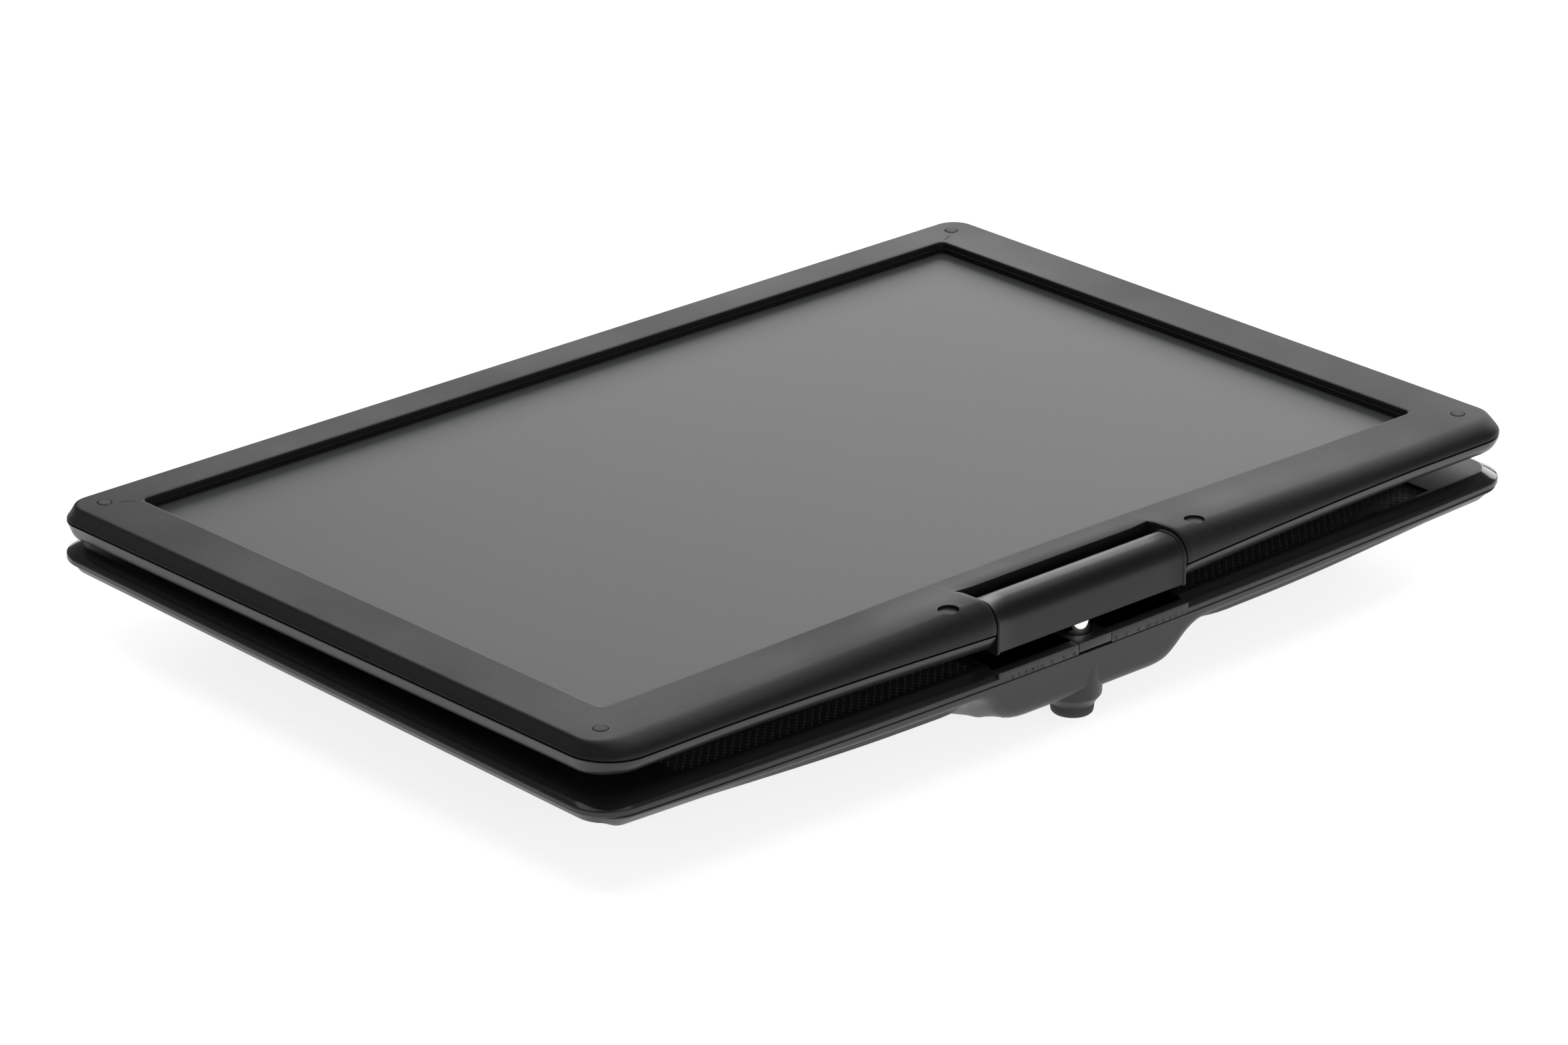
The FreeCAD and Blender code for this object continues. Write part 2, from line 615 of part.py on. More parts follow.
def make_case_screws():
    screws = []
    for x, y in SCREW_POINTS:
        head = rod(SCREW_HEAD_R, (x, y, SCREW_HEAD_Z[0]), (x, y, SCREW_HEAD_Z[1]))
        shank = rod(SCREW_R, (x, y, SCREW_HEAD_Z[1]), (x, y, SCREW_END_Z))
        slots = driver_slots(x, y, (BOTTOM_Z - PIERCE, SCREW_DRIVE_Z), DRIVE_HALF, DRIVE_HALF_W)
        screws.append(head.fuse(shank).cut(slots).removeSplitter())
    return group(screws)


def driver_slots(x, y, z, half, half_w):
    """The two crossing slots in a screw's head."""
    return [box((x - half, x + half), (y - half_w, y + half_w), z),
            box((x - half_w, x + half_w), (y - half, y + half), z)]


def make_speaker(side):
    x = sorted((side * SPEAKER_X[0], side * SPEAKER_X[1]))
    frame = box(x, SPEAKER_Y, SPEAKER_Z)
    mid_x = sum(x) / 2
    mid_y = sum(SPEAKER_Y) / 2
    cone = rod(SPEAKER_CONE_R, (mid_x, mid_y, SPEAKER_Z[1] - 1), (mid_x, mid_y, SPEAKER_Z[1]))
    return frame.cut(cone)


# ---------------------------------------------------------------- electronics and connectors
def make_battery_pack():
    pack = box(*BATTERY)
    return pack.makeFillet(BATTERY_EDGE, [e for e in pack.Edges if e.BoundBox.ZLength > BATTERY_EDGE])


def make_main_board():
    return fused([box(*MAIN_BOARD), box(*MAIN_CHIP), box(*TUNER_CAN)])


def make_jack(y, nose_r, bore_r, depth):
    """A board jack: body, nose through the case wall and a blind bore."""
    body = box((JACK_BACK_X, BLOCK_FACE_X - WALL - HAIRLINE), (y - JACK_HALF_Y, y + JACK_HALF_Y), JACK_BODY_Z)
    nose = rod(nose_r, (JACK_NOSE_X, y, JACK_Z), (BLOCK_FACE_X, y, JACK_Z))
    bore = rod(bore_r, (BLOCK_FACE_X - depth, y, JACK_Z), (BLOCK_FACE_X + PIERCE, y, JACK_Z))
    return body.fuse(nose).cut(bore).removeSplitter()


def make_headphone_jacks():
    return group([make_jack(y, JACK_NOSE_R, JACK_BORE_R, JACK_DEPTH) for y in HEADPHONE_Y])


def make_dc_pin():
    return rod(DC_PIN_R, (BLOCK_FACE_X - DC_DEPTH, DC_Y, JACK_Z), (BLOCK_FACE_X - 1.0, DC_Y, JACK_Z))


def make_power_slide():
    start = SLIDE_Y - (SLIDE_KNOB + SLIDE_TRAVEL) / 2
    knob_z = (JACK_Z - SLIDE_HALF_Z, JACK_Z + SLIDE_HALF_Z)
    knob = box((SLIDE_X, BLOCK_FACE_X + SLIDE_PROUD), (start, start + SLIDE_KNOB), knob_z)
    plate_y = (start - SLIDE_PLATE_LAP, start + SLIDE_KNOB + SLIDE_PLATE_LAP)
    plate_z = (JACK_Z - SLIDE_PLATE_HALF_Z, JACK_Z + SLIDE_PLATE_HALF_Z)
    plate = box((SLIDE_X, SLIDE_X + SLIDE_PLATE_T), plate_y, plate_z)
    return knob.fuse(plate).removeSplitter()


def make_volume_wheel():
    wheel = rod(WHEEL_R, (WHEEL_X, WHEEL_Y, WHEEL_Z[0]), (WHEEL_X, WHEEL_Y, WHEEL_Z[1]))
    below = WHEEL_Z[0] - 1
    above = WHEEL_Z[1] + 1
    bore = rod(WHEEL_POST_R + RUNNING, (WHEEL_X, WHEEL_Y, below), (WHEEL_X, WHEEL_Y, above))
    knurls = []
    for i in range(KNURLS):
        a = 2 * math.pi * i / KNURLS
        x = WHEEL_X + (WHEEL_R + KNURL_OUT) * math.cos(a)
        y = WHEEL_Y + (WHEEL_R + KNURL_OUT) * math.sin(a)
        knurls.append(rod(KNURL_R, (x, y, below), (x, y, above)))
    return wheel.cut(knurls + [bore])


def make_wheel_post():
    base = (WHEEL_X, WHEEL_Y, WHEEL_POST_BASE_Z)
    post = rod(WHEEL_POST_R, base, (WHEEL_X, WHEEL_Y, WHEEL_Z[1] + WHEEL_POST_RISE))
    foot = rod(2 * WHEEL_POST_R, base, (WHEEL_X, WHEEL_Y, WHEEL_Z[0] - WHEEL_END_GAP))
    return post.fuse(foot)


# ---------------------------------------------------------------- disc drive
def make_disc_well():
    top_z = DECK_Z - DECK_T - HAIRLINE
    under_z = WELL_FLOOR_Z - WELL_FLOOR_T
    wall = ring(WELL_R + WELL_WALL, WELL_R, (DISC_X, DISC_Y, under_z), (DISC_X, DISC_Y, top_z))
    flange_base = (DISC_X, DISC_Y, top_z - WELL_FLANGE_T)
    flange = ring(WELL_R + WELL_FLANGE_W, WELL_R, flange_base, (DISC_X, DISC_Y, top_z))
    floor = rod(WELL_R + 1, (DISC_X, DISC_Y, under_z), (DISC_X, DISC_Y, WELL_FLOOR_Z))
    well = fused([wall, flange, floor])
    cuts = [rod(CLAMP_R, (DISC_X, DISC_Y, under_z - PIERCE), (DISC_X, DISC_Y, WELL_FLOOR_Z + PIERCE))]
    slot_x = (DISC_X + SLED_SLOT_X[0], DISC_X + SLED_SLOT_X[1])
    slot_y = (DISC_Y - SLED_SLOT_HALF_Y, DISC_Y + SLED_SLOT_HALF_Y)
    cuts.append(box(slot_x, slot_y, (under_z - PIERCE, WELL_FLOOR_Z + TOUCH)))
    ear_half = EAR_HALF_X + 2 * LUG_HALF_X + WELL_EAR_GAP
    for x in EAR_X:
        cuts.append(box((x - ear_half, x + ear_half), WELL_EAR_Y, (WELL_EAR_Z, DECK_Z)))
    tab_half = TAB_HALF_X + WELL_TAB_GAP
    cuts.append(box((DISC_X - tab_half, DISC_X + tab_half), WELL_TAB_Y, (WELL_TAB_Z, DECK_Z)))
    return well.cut(cuts).removeSplitter()


def make_drive_chassis():
    frame = box(CHASSIS_X, CHASSIS_Y, CHASSIS_Z)
    z = (CHASSIS_Z[0] - PIERCE, CHASSIS_Z[1] + PIERCE)
    window = box(WINDOW_X, (CHASSIS_Y[0] + CHASSIS_BORDER, CHASSIS_Y[1] - CHASSIS_BORDER), z)
    motor = rod(MOTOR_R + MOTOR_GAP, (DISC_X, DISC_Y, z[0]), (DISC_X, DISC_Y, z[1]))
    points = [(x, y) for x in CHASSIS_HOLE_X for y in CHASSIS_HOLE_Y]
    corners = [rod(CHASSIS_HOLE_R, (x, y, z[0]), (x, y, z[1])) for x, y in points]
    feed_end = (CHASSIS_X[1] + PIERCE, FEED_Y, MECH_Z)
    feed = rod(FEED_R + FEED_HOLE_GAP, (0, FEED_Y, MECH_Z), feed_end)
    return frame.cut([window, motor, feed] + corners + sled_rods(RAIL_R))


def sled_rods(radius):
    return [rod(radius, (ROD_X[0], y, MECH_Z), (ROD_X[1], y, MECH_Z)) for y in RAIL_Y]


def make_laser_sled():
    body = box(SLED_X, (DISC_Y - SLED_HALF_Y, DISC_Y + SLED_HALF_Y), SLED_Z)
    arm_x = (SLED_X[0] + SLED_ARM_INSET, SLED_X[1] - SLED_ARM_INSET)
    arms = box(arm_x, SLED_ARM_Y, (SLED_Z[0], SLED_ARM_TOP_Z))
    ends = (SLED_X[0] - PIERCE, SLED_X[1] + PIERCE)
    rails = [rod(RAIL_R + RUNNING, (ends[0], y, MECH_Z), (ends[1], y, MECH_Z)) for y in RAIL_Y]
    feed = rod(FEED_R + FEED_NUT_GAP, (ends[0], FEED_Y, MECH_Z), (ends[1], FEED_Y, MECH_Z))
    pocket = rod(LENS_HOLDER_R + LENS_GAP, (LENS_X, DISC_Y, LENS_Z[0]), (LENS_X, DISC_Y, SLED_Z[1] + PIERCE))
    return body.fuse(arms).cut(rails + [feed, pocket]).removeSplitter()


def make_objective_lens():
    low, high = LENS_Z
    holder = ring(LENS_HOLDER_R, LENS_R, (LENS_X, DISC_Y, low), (LENS_X, DISC_Y, high))
    glass = rod(LENS_R, (LENS_X, DISC_Y, low + LENS_GLASS[0]), (LENS_X, DISC_Y, high - LENS_GLASS[1]))
    return holder.fuse(glass)


def make_spindle_motor():
    return ring(MOTOR_R, SPINDLE_R + RUNNING, (DISC_X, DISC_Y, MOTOR_Z[0]), (DISC_X, DISC_Y, MOTOR_Z[1]))


def make_turntable():
    low, high = TURNTABLE_Z
    shaft = rod(SPINDLE_R, (DISC_X, DISC_Y, SPINDLE_Z), (DISC_X, DISC_Y, low))
    plate = rod(TURNTABLE_R, (DISC_X, DISC_Y, low), (DISC_X, DISC_Y, high))
    hub = Part.makeCone(*HUB_R, HUB_H, V(DISC_X, DISC_Y, high))
    table = fused([shaft, plate, hub])
    return table.cut([ball(angle, PRESS_GAP) for angle in BALL_ANGLES])


def ball(angle, extra):
    rad = math.radians(angle)
    centre = V(DISC_X + BALL_RING_R * math.cos(rad), DISC_Y + BALL_RING_R * math.sin(rad), BALL_Z)
    return Part.makeSphere(BALL_R + extra, centre)


def make_feed_motor():
    near, far = FEED_MOTOR_X
    can = rod(FEED_MOTOR_R, (near, FEED_Y, MECH_Z), (far, FEED_Y, MECH_Z))
    return can.cut(rod(FEED_R + HAIRLINE, (0, FEED_Y, MECH_Z), (FEED_MOTOR_BORE_X, FEED_Y, MECH_Z)))


def make_disc_lid():
    plate = rod(LID_R, (DISC_X, DISC_Y, DECK_Z - LID_T), (DISC_X, DISC_Y, DECK_Z))
    arm_z = (LID_PIN_Z - EAR_DROP, DECK_Z - LID_T + EAR_JOIN)
    ears = []
    for x in EAR_X:
        arm = box((x - EAR_HALF_X, x + EAR_HALF_X), (LID_PIN_Y, EAR_BACK_Y), arm_z)
        ends = (x - EAR_HALF_X, x + EAR_HALF_X)
        knuckle = rod(KNUCKLE_R, (ends[0], LID_PIN_Y, LID_PIN_Z), (ends[1], LID_PIN_Y, LID_PIN_Z))
        ears += [arm, knuckle]
    tab = box((DISC_X - TAB_HALF_X, DISC_X + TAB_HALF_X), TAB_Y, TAB_Z)
    lid = fused([plate, tab] + ears)
    ends = [(x - LID_PIN_TOOL, x + LID_PIN_TOOL) for x in EAR_X]
    pins = [rod(LID_PIN_R, (a, LID_PIN_Y, LID_PIN_Z), (b, LID_PIN_Y, LID_PIN_Z)) for a, b in ends]
    return lid.cut(pins).removeSplitter()


def make_lid_pins():
    reach = EAR_HALF_X + 2 * LUG_HALF_X
    ends = [(x - reach, x + reach) for x in EAR_X]
    return group([rod(LID_PIN_R, (a, LID_PIN_Y, LID_PIN_Z), (b, LID_PIN_Y, LID_PIN_Z)) for a, b in ends])


def make_lid_catch():
    """A bent leaf spring beside the lid's tab."""
    y = CATCH_Y
    x = (DISC_X - CATCH_HALF_X, DISC_X + CATCH_HALF_X)
    leaf = box(x, (y, y + CATCH_T), (CATCH_Z[0] + CATCH_T, CATCH_Z[1]))
    base = box(x, (y, y + CATCH_BASE_LENGTH), (CATCH_Z[0], CATCH_Z[0] + CATCH_T))
    return leaf.fuse(base).removeSplitter()


# ---------------------------------------------------------------- keys
def rounded_top(key):
    return key.makeFillet(KEY_EDGE, [e for e in key.Edges if e.BoundBox.ZMin > KEY_TOP_Z - TOUCH])


def make_round_key(x):
    return rounded_top(rod(ROUND_KEY_R, (x, ROUND_KEY_Y, KEY_BASE_Z), (x, ROUND_KEY_Y, KEY_TOP_Z)))


def make_nav_ring():
    return rounded_top(ring(NAV_R, ENTER_R + KEY_GAP, (NAV_X, NAV_Y, KEY_BASE_Z), (NAV_X, NAV_Y, KEY_TOP_Z)))


def make_enter_key():
    return rounded_top(rod(ENTER_R, (NAV_X, NAV_Y, KEY_BASE_Z), (NAV_X, NAV_Y, KEY_TOP_Z)))


def make_open_key():
    return rounded_top(pill(*OPEN_KEY, OPEN_KEY_HALF_X, OPEN_KEY_HALF_Y, (KEY_BASE_Z, KEY_TOP_Z)))


# ---------------------------------------------------------------- hinge
def rod_on_tilt_axis(radius, side, start_x, length):
    """A round bar on the tilt axis, to one side of the middle."""
    return rod(radius, (side * start_x, SWIVEL_Y, TILT_Z), (side * (start_x + length), SWIVEL_Y, TILT_Z))


def ring_on_tilt_axis(outer, inner, side, start_x, length):
    return rod_on_tilt_axis(outer, side, start_x, length).cut(rod_on_tilt_axis(inner, side, start_x, length))


def make_hinge_block():
    section = box((-BLOCK_HALF_X, BLOCK_HALF_X), (SWIVEL_Y - BLOCK_HALF_Y, SWIVEL_Y + BLOCK_HALF_Y),
                  (TILT_Z - BLOCK_DOWN, TILT_Z + BLOCK_UP))
    long_edges = [e for e in section.Edges if e.BoundBox.XLength > 1]
    top = [e for e in long_edges if e.BoundBox.ZMin > TILT_Z]
    block = section.makeFillet(BLOCK_TOP_R, top)
    low_z = TILT_Z - BLOCK_DOWN + TOUCH
    low = [e for e in block.Edges if e.BoundBox.XLength > 1 and e.BoundBox.ZMax < low_z]
    block = block.makeFillet(BLOCK_EDGE_R, low)
    bore_length = BLOCK_HALF_X - BLOCK_BORE_X + 1
    bores = [rod_on_tilt_axis(BLOCK_BORE_R, s, BLOCK_BORE_X, bore_length) for s in (-1, 1)]
    socket = rod(SHAFT_R, (0, SWIVEL_Y, DECK_Z), (0, SWIVEL_Y, SOCKET_Z))
    return block.cut(bores + [socket])


def make_swivel_shaft():
    shaft = rod(SHAFT_R, (0, SWIVEL_Y, SHAFT_BASE_Z), (0, SWIVEL_Y, SOCKET_Z))
    neck = rod(NECK_R, (0, SWIVEL_Y, NECK_Z), (0, SWIVEL_Y, SHAFT_BASE_Z))
    return shaft.fuse(neck)


def make_retaining_ring():
    return ring(RETAINER_R, NECK_R, (0, SWIVEL_Y, RETAINER_Z[0]), (0, SWIVEL_Y, RETAINER_Z[1]))


def make_tilt_bushes():
    length = BUSH_X[1] - BUSH_X[0]
    outer = BLOCK_BORE_R - PRESS_GAP
    return group([ring_on_tilt_axis(outer, PIN_R + RUNNING, s, BUSH_X[0], length) for s in (-1, 1)])


def make_friction_washers():
    starts = [WASHER_START_X + WASHER_PITCH * i for i in range(WASHERS)]
    outer = BLOCK_BORE_R - HAIRLINE
    bore = PIN_R + HAIRLINE
    return group([ring_on_tilt_axis(outer, bore, s, x, WASHER_T) for s in (-1, 1) for x in starts])


# ---------------------------------------------------------------- screen
def barrel(radius_cut, start_x):
    """Tapered barrels either side of the hinge notch, on the tilt axis."""
    barrels = []
    for s in (-1, 1):
        taper = (BARREL_R - BARREL_END_R) / (BARREL_END_X - NOTCH_HALF_X)
        start_r = BARREL_R - radius_cut - taper * (start_x - NOTCH_HALF_X)
        end_r = BARREL_END_R - radius_cut
        barrels.append(Part.makeCone(start_r, end_r, BARREL_END_X - start_x,
                                     V(s * start_x, TILT_LOCAL_Y, TILT_LOCAL_Z), V(s, 0, 0)))
    return barrels


def screen_housing():
    """Bezel and back cover as one hollow form, before it is split at the seam."""
    outer = stack([screen_outline(side, near, z) for z, side, near in SCREEN_SECTIONS])
    outer = fused([outer] + barrel(0, NOTCH_HALF_X))
    depth = -SCREEN_SECTIONS[0][0]
    room = prism(screen_outline(*SCREEN_ROOM_INSET, SCREEN_SKIN - depth), depth - 2 * SCREEN_SKIN)
    room = room.cut([rod(SCREEN_POST_R, (x, y, -depth - PIERCE), (x, y, PIERCE)) for x, y in PADS])
    room = room.fuse(barrel(SCREEN_SKIN, NOTCH_HALF_X + SCREEN_SKIN))
    guard_half = NOTCH_HALF_X + SCREEN_SKIN
    guard = box((-guard_half, guard_half), (-BEYOND, NOTCH_Y + SCREEN_SKIN), (-BEYOND, BEYOND))
    lip_half = WINDOW_HALF_X + SCREEN_SKIN
    lip_y = (WINDOW_NEAR_Y - SCREEN_SKIN, WINDOW_FAR_Y + SCREEN_SKIN)
    lip_out = box((-lip_half, lip_half), lip_y, (LCD_TOP_Z + PRESS_GAP, 0))
    room = room.cut([guard, lip_out])
    window = box((-WINDOW_HALF_X, WINDOW_HALF_X), (WINDOW_NEAR_Y, WINDOW_FAR_Y), (LCD_TOP_Z, ABOVE_BARREL_Z))
    notch = box((-NOTCH_HALF_X, NOTCH_HALF_X), (-BEYOND, NOTCH_Y), (-BEYOND, BEYOND))
    pin_end = (BARREL_PIN_END_X, TILT_LOCAL_Y, TILT_LOCAL_Z)
    pin_hole = rod(BARREL_PIN_R, (-BARREL_PIN_END_X, TILT_LOCAL_Y, TILT_LOCAL_Z), pin_end)
    cuts = [window, notch, pin_hole]
    for x in (-HINGE_SCREW_X, HINGE_SCREW_X):
        floor = (x, HINGE_SCREW_Y, HINGE_SCREW_HOLE_Z)
        cuts.append(rod(HINGE_SCREW_HOLE_R, floor, (x, HINGE_SCREW_Y, ABOVE_BARREL_Z)))
    for x, y in PADS:
        cuts.append(rod(PAD_R + PAD_GAP, (x, y, BEZEL_HEAD_Z[0]), (x, y, PIERCE)))
        cuts.append(rod(BEZEL_SCREW_R + PRESS_GAP, (x, y, BEZEL_HOLE_Z), (x, y, 0)))
    return outer.cut(room).cut(cuts)


def split_housing(housing):
    """Bezel above the seam, back cover below it."""
    wide = (-BEYOND, BEYOND)
    upper = housing.common(box(wide, wide, (SCREEN_SEAM_Z + PRESS_GAP, BEYOND)))
    lower = housing.common(box(wide, wide, (-BEYOND, SCREEN_SEAM_Z - PRESS_GAP)))
    return upper.removeSplitter(), lower.removeSplitter()


def make_hinge_arm(side):
    x = sorted((side * (NOTCH_HALF_X + SCREEN_SKIN + ARM_GAP), side * ARM_END_X))
    plate = box(x, ARM_Y, ARM_Z)
    pin_end = (side * PIN_END_X, TILT_LOCAL_Y, TILT_LOCAL_Z)
    pin = rod(PIN_R, (side * PIN_START_X, TILT_LOCAL_Y, TILT_LOCAL_Z), pin_end)
    z = (ARM_Z[0] - PIERCE, ARM_Z[1] + PIERCE)
    hole_x = side * HINGE_SCREW_X
    hole = rod(HINGE_SCREW_R, (hole_x, HINGE_SCREW_Y, z[0]), (hole_x, HINGE_SCREW_Y, z[1]))
    slot_x = side * (ARM_END_X - HINGE_SLOT_IN[0])
    slot_y = (ARM_Y[0] + HINGE_SLOT_IN[1], ARM_Y[1] - HINGE_SLOT_IN[1])
    slots = [rod(HINGE_SLOT_R, (slot_x, y, z[0]), (slot_x, y, z[1])) for y in slot_y]
    return plate.fuse(pin).cut([hole] + slots).removeSplitter()


def make_hinge_nuts():
    start = PIN_START_X + NUT_SETBACK
    return group([ring(NUT_R, PIN_R, (s * start, TILT_LOCAL_Y, TILT_LOCAL_Z),
                       (s * (start + NUT_T), TILT_LOCAL_Y, TILT_LOCAL_Z)) for s in (-1, 1)])


def make_hinge_screws():
    screws = []
    for s in (-1, 1):
        x = s * HINGE_SCREW_X
        seat = (x, HINGE_SCREW_Y, ARM_Z[1])
        top = (x, HINGE_SCREW_Y, ARM_Z[1] + HINGE_HEAD_H)
        head = rod(HINGE_SCREW_HOLE_R - HINGE_HEAD_GAP, seat, top)
        shank = rod(HINGE_SCREW_R, (x, HINGE_SCREW_Y, ARM_Z[0]), seat)
        slots = driver_slots(x, HINGE_SCREW_Y, (HINGE_SCREW_HOLE_Z, 0), *HINGE_DRIVE)
        screws.append(head.fuse(shank).cut(slots).removeSplitter())
    return group(screws)


def at_pads(make):
    return group([make(x, y) for x, y in PADS])


def bezel_screw(x, y):
    low, high = BEZEL_HEAD_Z
    head = rod(BEZEL_HEAD_R, (x, y, low), (x, y, high))
    return head.fuse(rod(BEZEL_SCREW_R, (x, y, BEZEL_SCREW_Z), (x, y, low)))


def corner_pad(x, y):
    pad = rod(PAD_R, (x, y, PAD_Z[0]), (x, y, PAD_Z[1]))
    return pad.makeFillet(PAD_EDGE, [e for e in pad.Edges if e.BoundBox.ZMin > 0])


def lcd_layer(z):
    return box((-LCD_HALF_X, LCD_HALF_X), (LCD_NEAR_Y, LCD_FAR_Y), z)


# ---------------------------------------------------------------- assembly
bezel, back_cover = split_housing(screen_housing())

SCREEN_NODES = {
    "bezel": bezel,
    "back_cover": back_cover,
    "lcd_glass": lcd_layer((LCD_BASE_Z, LCD_TOP_Z)),
    "backlight": lcd_layer((BACKLIGHT_BASE_Z, LCD_BASE_Z - PRESS_GAP)),
    "lcd_board": box(*LCD_BOARD),
    "hinge_arm_left": make_hinge_arm(-1),
    "hinge_arm_right": make_hinge_arm(1),
    "hinge_nuts": make_hinge_nuts(),
    "hinge_screws": make_hinge_screws(),
    "bezel_screws": at_pads(bezel_screw),
    "corner_pads": at_pads(corner_pad),
}

NODES = {
    "bottom_case": make_bottom_case(),
    "top_cover": make_top_cover(),
    "swivel_insert": make_swivel_insert(),
    "swivel_bush": make_swivel_bush(),
    "post_foot": make_post_foot(),
    "rubber_feet": make_rubber_feet(),
    "speaker_grille_left": grille_band((-GRILLE_X[1], -GRILLE_X[0]), GRILLE_Z, HAIRLINE),
    "speaker_grille_right": grille_band(GRILLE_X, GRILLE_Z, HAIRLINE),
    "speaker_left": make_speaker(-1),
    "speaker_right": make_speaker(1),
    "battery_pack": make_battery_pack(),
    "main_board": make_main_board(),
    "key_board": box(*KEY_BOARD),
    "headphone_jacks": make_headphone_jacks(),
    "av_jack": make_jack(AV_Y, JACK_NOSE_R, JACK_BORE_R, JACK_DEPTH),
    "dc_inlet": make_jack(DC_Y, DC_NOSE_R, DC_BORE_R, DC_DEPTH),
    "dc_inlet_pin": make_dc_pin(),
    "volume_wheel_post": make_wheel_post(),
    "ir_window": pill(*IR_WINDOW, IR_HALF_X - HAIRLINE, IR_HALF_Y - HAIRLINE,
                      (DECK_Z - IR_DEPTH, DECK_Z - HAIRLINE)),
    "status_lights": group([rod(LIGHT_R - HAIRLINE, (x, LIGHT_Y, LIGHT_BASE_Z), (x, LIGHT_Y, DECK_Z))
                           for x in LIGHT_X]),
    "disc_well": make_disc_well(),
    "drive_chassis": make_drive_chassis(),
    "sled_rails": group(sled_rods(RAIL_R)),
    "spindle_motor": make_spindle_motor(),
    "feed_motor": make_feed_motor(),
    "lid_catch": make_lid_catch(),
    "case_screws": make_case_screws(),
    "disc_lid": make_disc_lid(),
    "lid_hinge_pins": make_lid_pins(),
    "turntable": make_turntable(),
    "clamp_balls": group([ball(angle, 0) for angle in BALL_ANGLES]),
    "laser_sled": make_laser_sled(),
    "objective_lens": make_objective_lens(),
    "feed_screw": rod(FEED_R, (FEED_X[0], FEED_Y, MECH_Z), (FEED_X[1], FEED_Y, MECH_Z)),
    "nav_ring": make_nav_ring(),
    "enter_key": make_enter_key(),
    "open_key": make_open_key(),
    "power_slide": make_power_slide(),
    "volume_wheel": make_volume_wheel(),
    "hinge_block": make_hinge_block(),
    "swivel_shaft": make_swivel_shaft(),
    "retaining_ring": make_retaining_ring(),
    "tilt_bushes": make_tilt_bushes(),
    "friction_washers": make_friction_washers(),
}

NODES.update({name: make_round_key(x) for name, x in ROUND_KEYS.items()})
NODES.update({name: place_screen(shape) for name, shape in SCREEN_NODES.items()})

os.makedirs("parts", exist_ok=True)
for name, shape in NODES.items():
    shape.exportStep("parts/" + name + ".step")
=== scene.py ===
import json
import math

import bmesh
import bpy
from mathutils import Matrix, Vector


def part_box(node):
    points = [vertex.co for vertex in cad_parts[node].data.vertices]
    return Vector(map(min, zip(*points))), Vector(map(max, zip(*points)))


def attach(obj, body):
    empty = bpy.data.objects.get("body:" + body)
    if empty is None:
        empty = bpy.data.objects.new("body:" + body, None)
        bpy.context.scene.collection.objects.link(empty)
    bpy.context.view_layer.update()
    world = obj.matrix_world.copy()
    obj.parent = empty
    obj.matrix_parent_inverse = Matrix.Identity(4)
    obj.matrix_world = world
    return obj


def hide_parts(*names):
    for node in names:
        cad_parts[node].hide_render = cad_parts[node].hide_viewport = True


# Looks of the swivel-screen disc player. Lengths here are millimetres until make() turns them to metres.

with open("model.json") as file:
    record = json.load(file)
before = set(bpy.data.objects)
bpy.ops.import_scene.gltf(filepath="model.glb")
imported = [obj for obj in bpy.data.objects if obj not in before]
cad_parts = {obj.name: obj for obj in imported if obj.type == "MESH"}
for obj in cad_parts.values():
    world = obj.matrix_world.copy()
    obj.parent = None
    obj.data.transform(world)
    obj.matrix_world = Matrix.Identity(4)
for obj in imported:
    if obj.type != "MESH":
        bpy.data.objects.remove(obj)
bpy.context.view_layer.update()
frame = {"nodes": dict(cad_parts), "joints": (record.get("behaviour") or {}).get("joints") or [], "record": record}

MM = 0.001
JOINTS = {joint["name"]: joint for joint in frame["joints"]}
SWIVEL_Y = JOINTS["screen_tilt"]["pos_m"][1] / MM
TILT_Z = JOINTS["screen_tilt"]["pos_m"][2] / MM

# ---- screen housing, in the screen's own frame ----
SCREEN_DROP = math.radians(1.0)
TILT_LOCAL_Y = -97.8
TILT_LOCAL_Z = -3.8
HOUSE_HALF_X = 148.8
HOUSE_NEAR_Y = -102.0
HOUSE_FAR_Y = 98.4
HOUSE_CORNER_NEAR = 11.5
HOUSE_CORNER_FAR = 8.0
WINDOW_HALF_X = 131.5
WINDOW_NEAR_Y = -81.0
WINDOW_FAR_Y = 85.2
WINDOW_CORNER = 1.3
NOTCH_HALF_X = 31.15
NOTCH_INSET = 12.0
EDGE_ZONE = 4.6              # depth from the outline in which sections stay square to it
END_WALL = 1.6
SWELL_END_X = 116.0
BARREL_R = 6.2
PAD_X = 139.5
PAD_Y = 90.1
HINGE_SCREW = (40.1, -97.0)
SCREW_HOLE_R = 2.5
SCREW_HOLE_Z = (-1.4, 6.0)   # floor, and a height above the barrels
PAD_HOLE_R = 1.85
PAD_HOLE_Z = (-1.0, 3.0)
SCREW_CAP = [(2.45, -1.35), (2.45, 1.25), (2.3, 1.4), (0.01, 1.44)]
WINDOW_FOOT_Z = -2.8
COVER_FLOOR_Z = -8.0
COVER_INSIDE_Z = -6.4

# ---- hinge block, from the crossing of its two axes ----
BLOCK_HALF_Y = 6.2
BLOCK_LOW_Z = -6.7
BLOCK_HIGH_Z = 5.5
BLOCK_CROWN_R = 5.4
BLOCK_FOOT_R = 1.0
BLOCK_BORE_X = (8.0, 31.5)
BLOCK_BORE_R = 4.2
SHAFT_BORE_R = 4.0
SHAFT_BORE_Z = (20.0, 28.4)  # heights above the ground

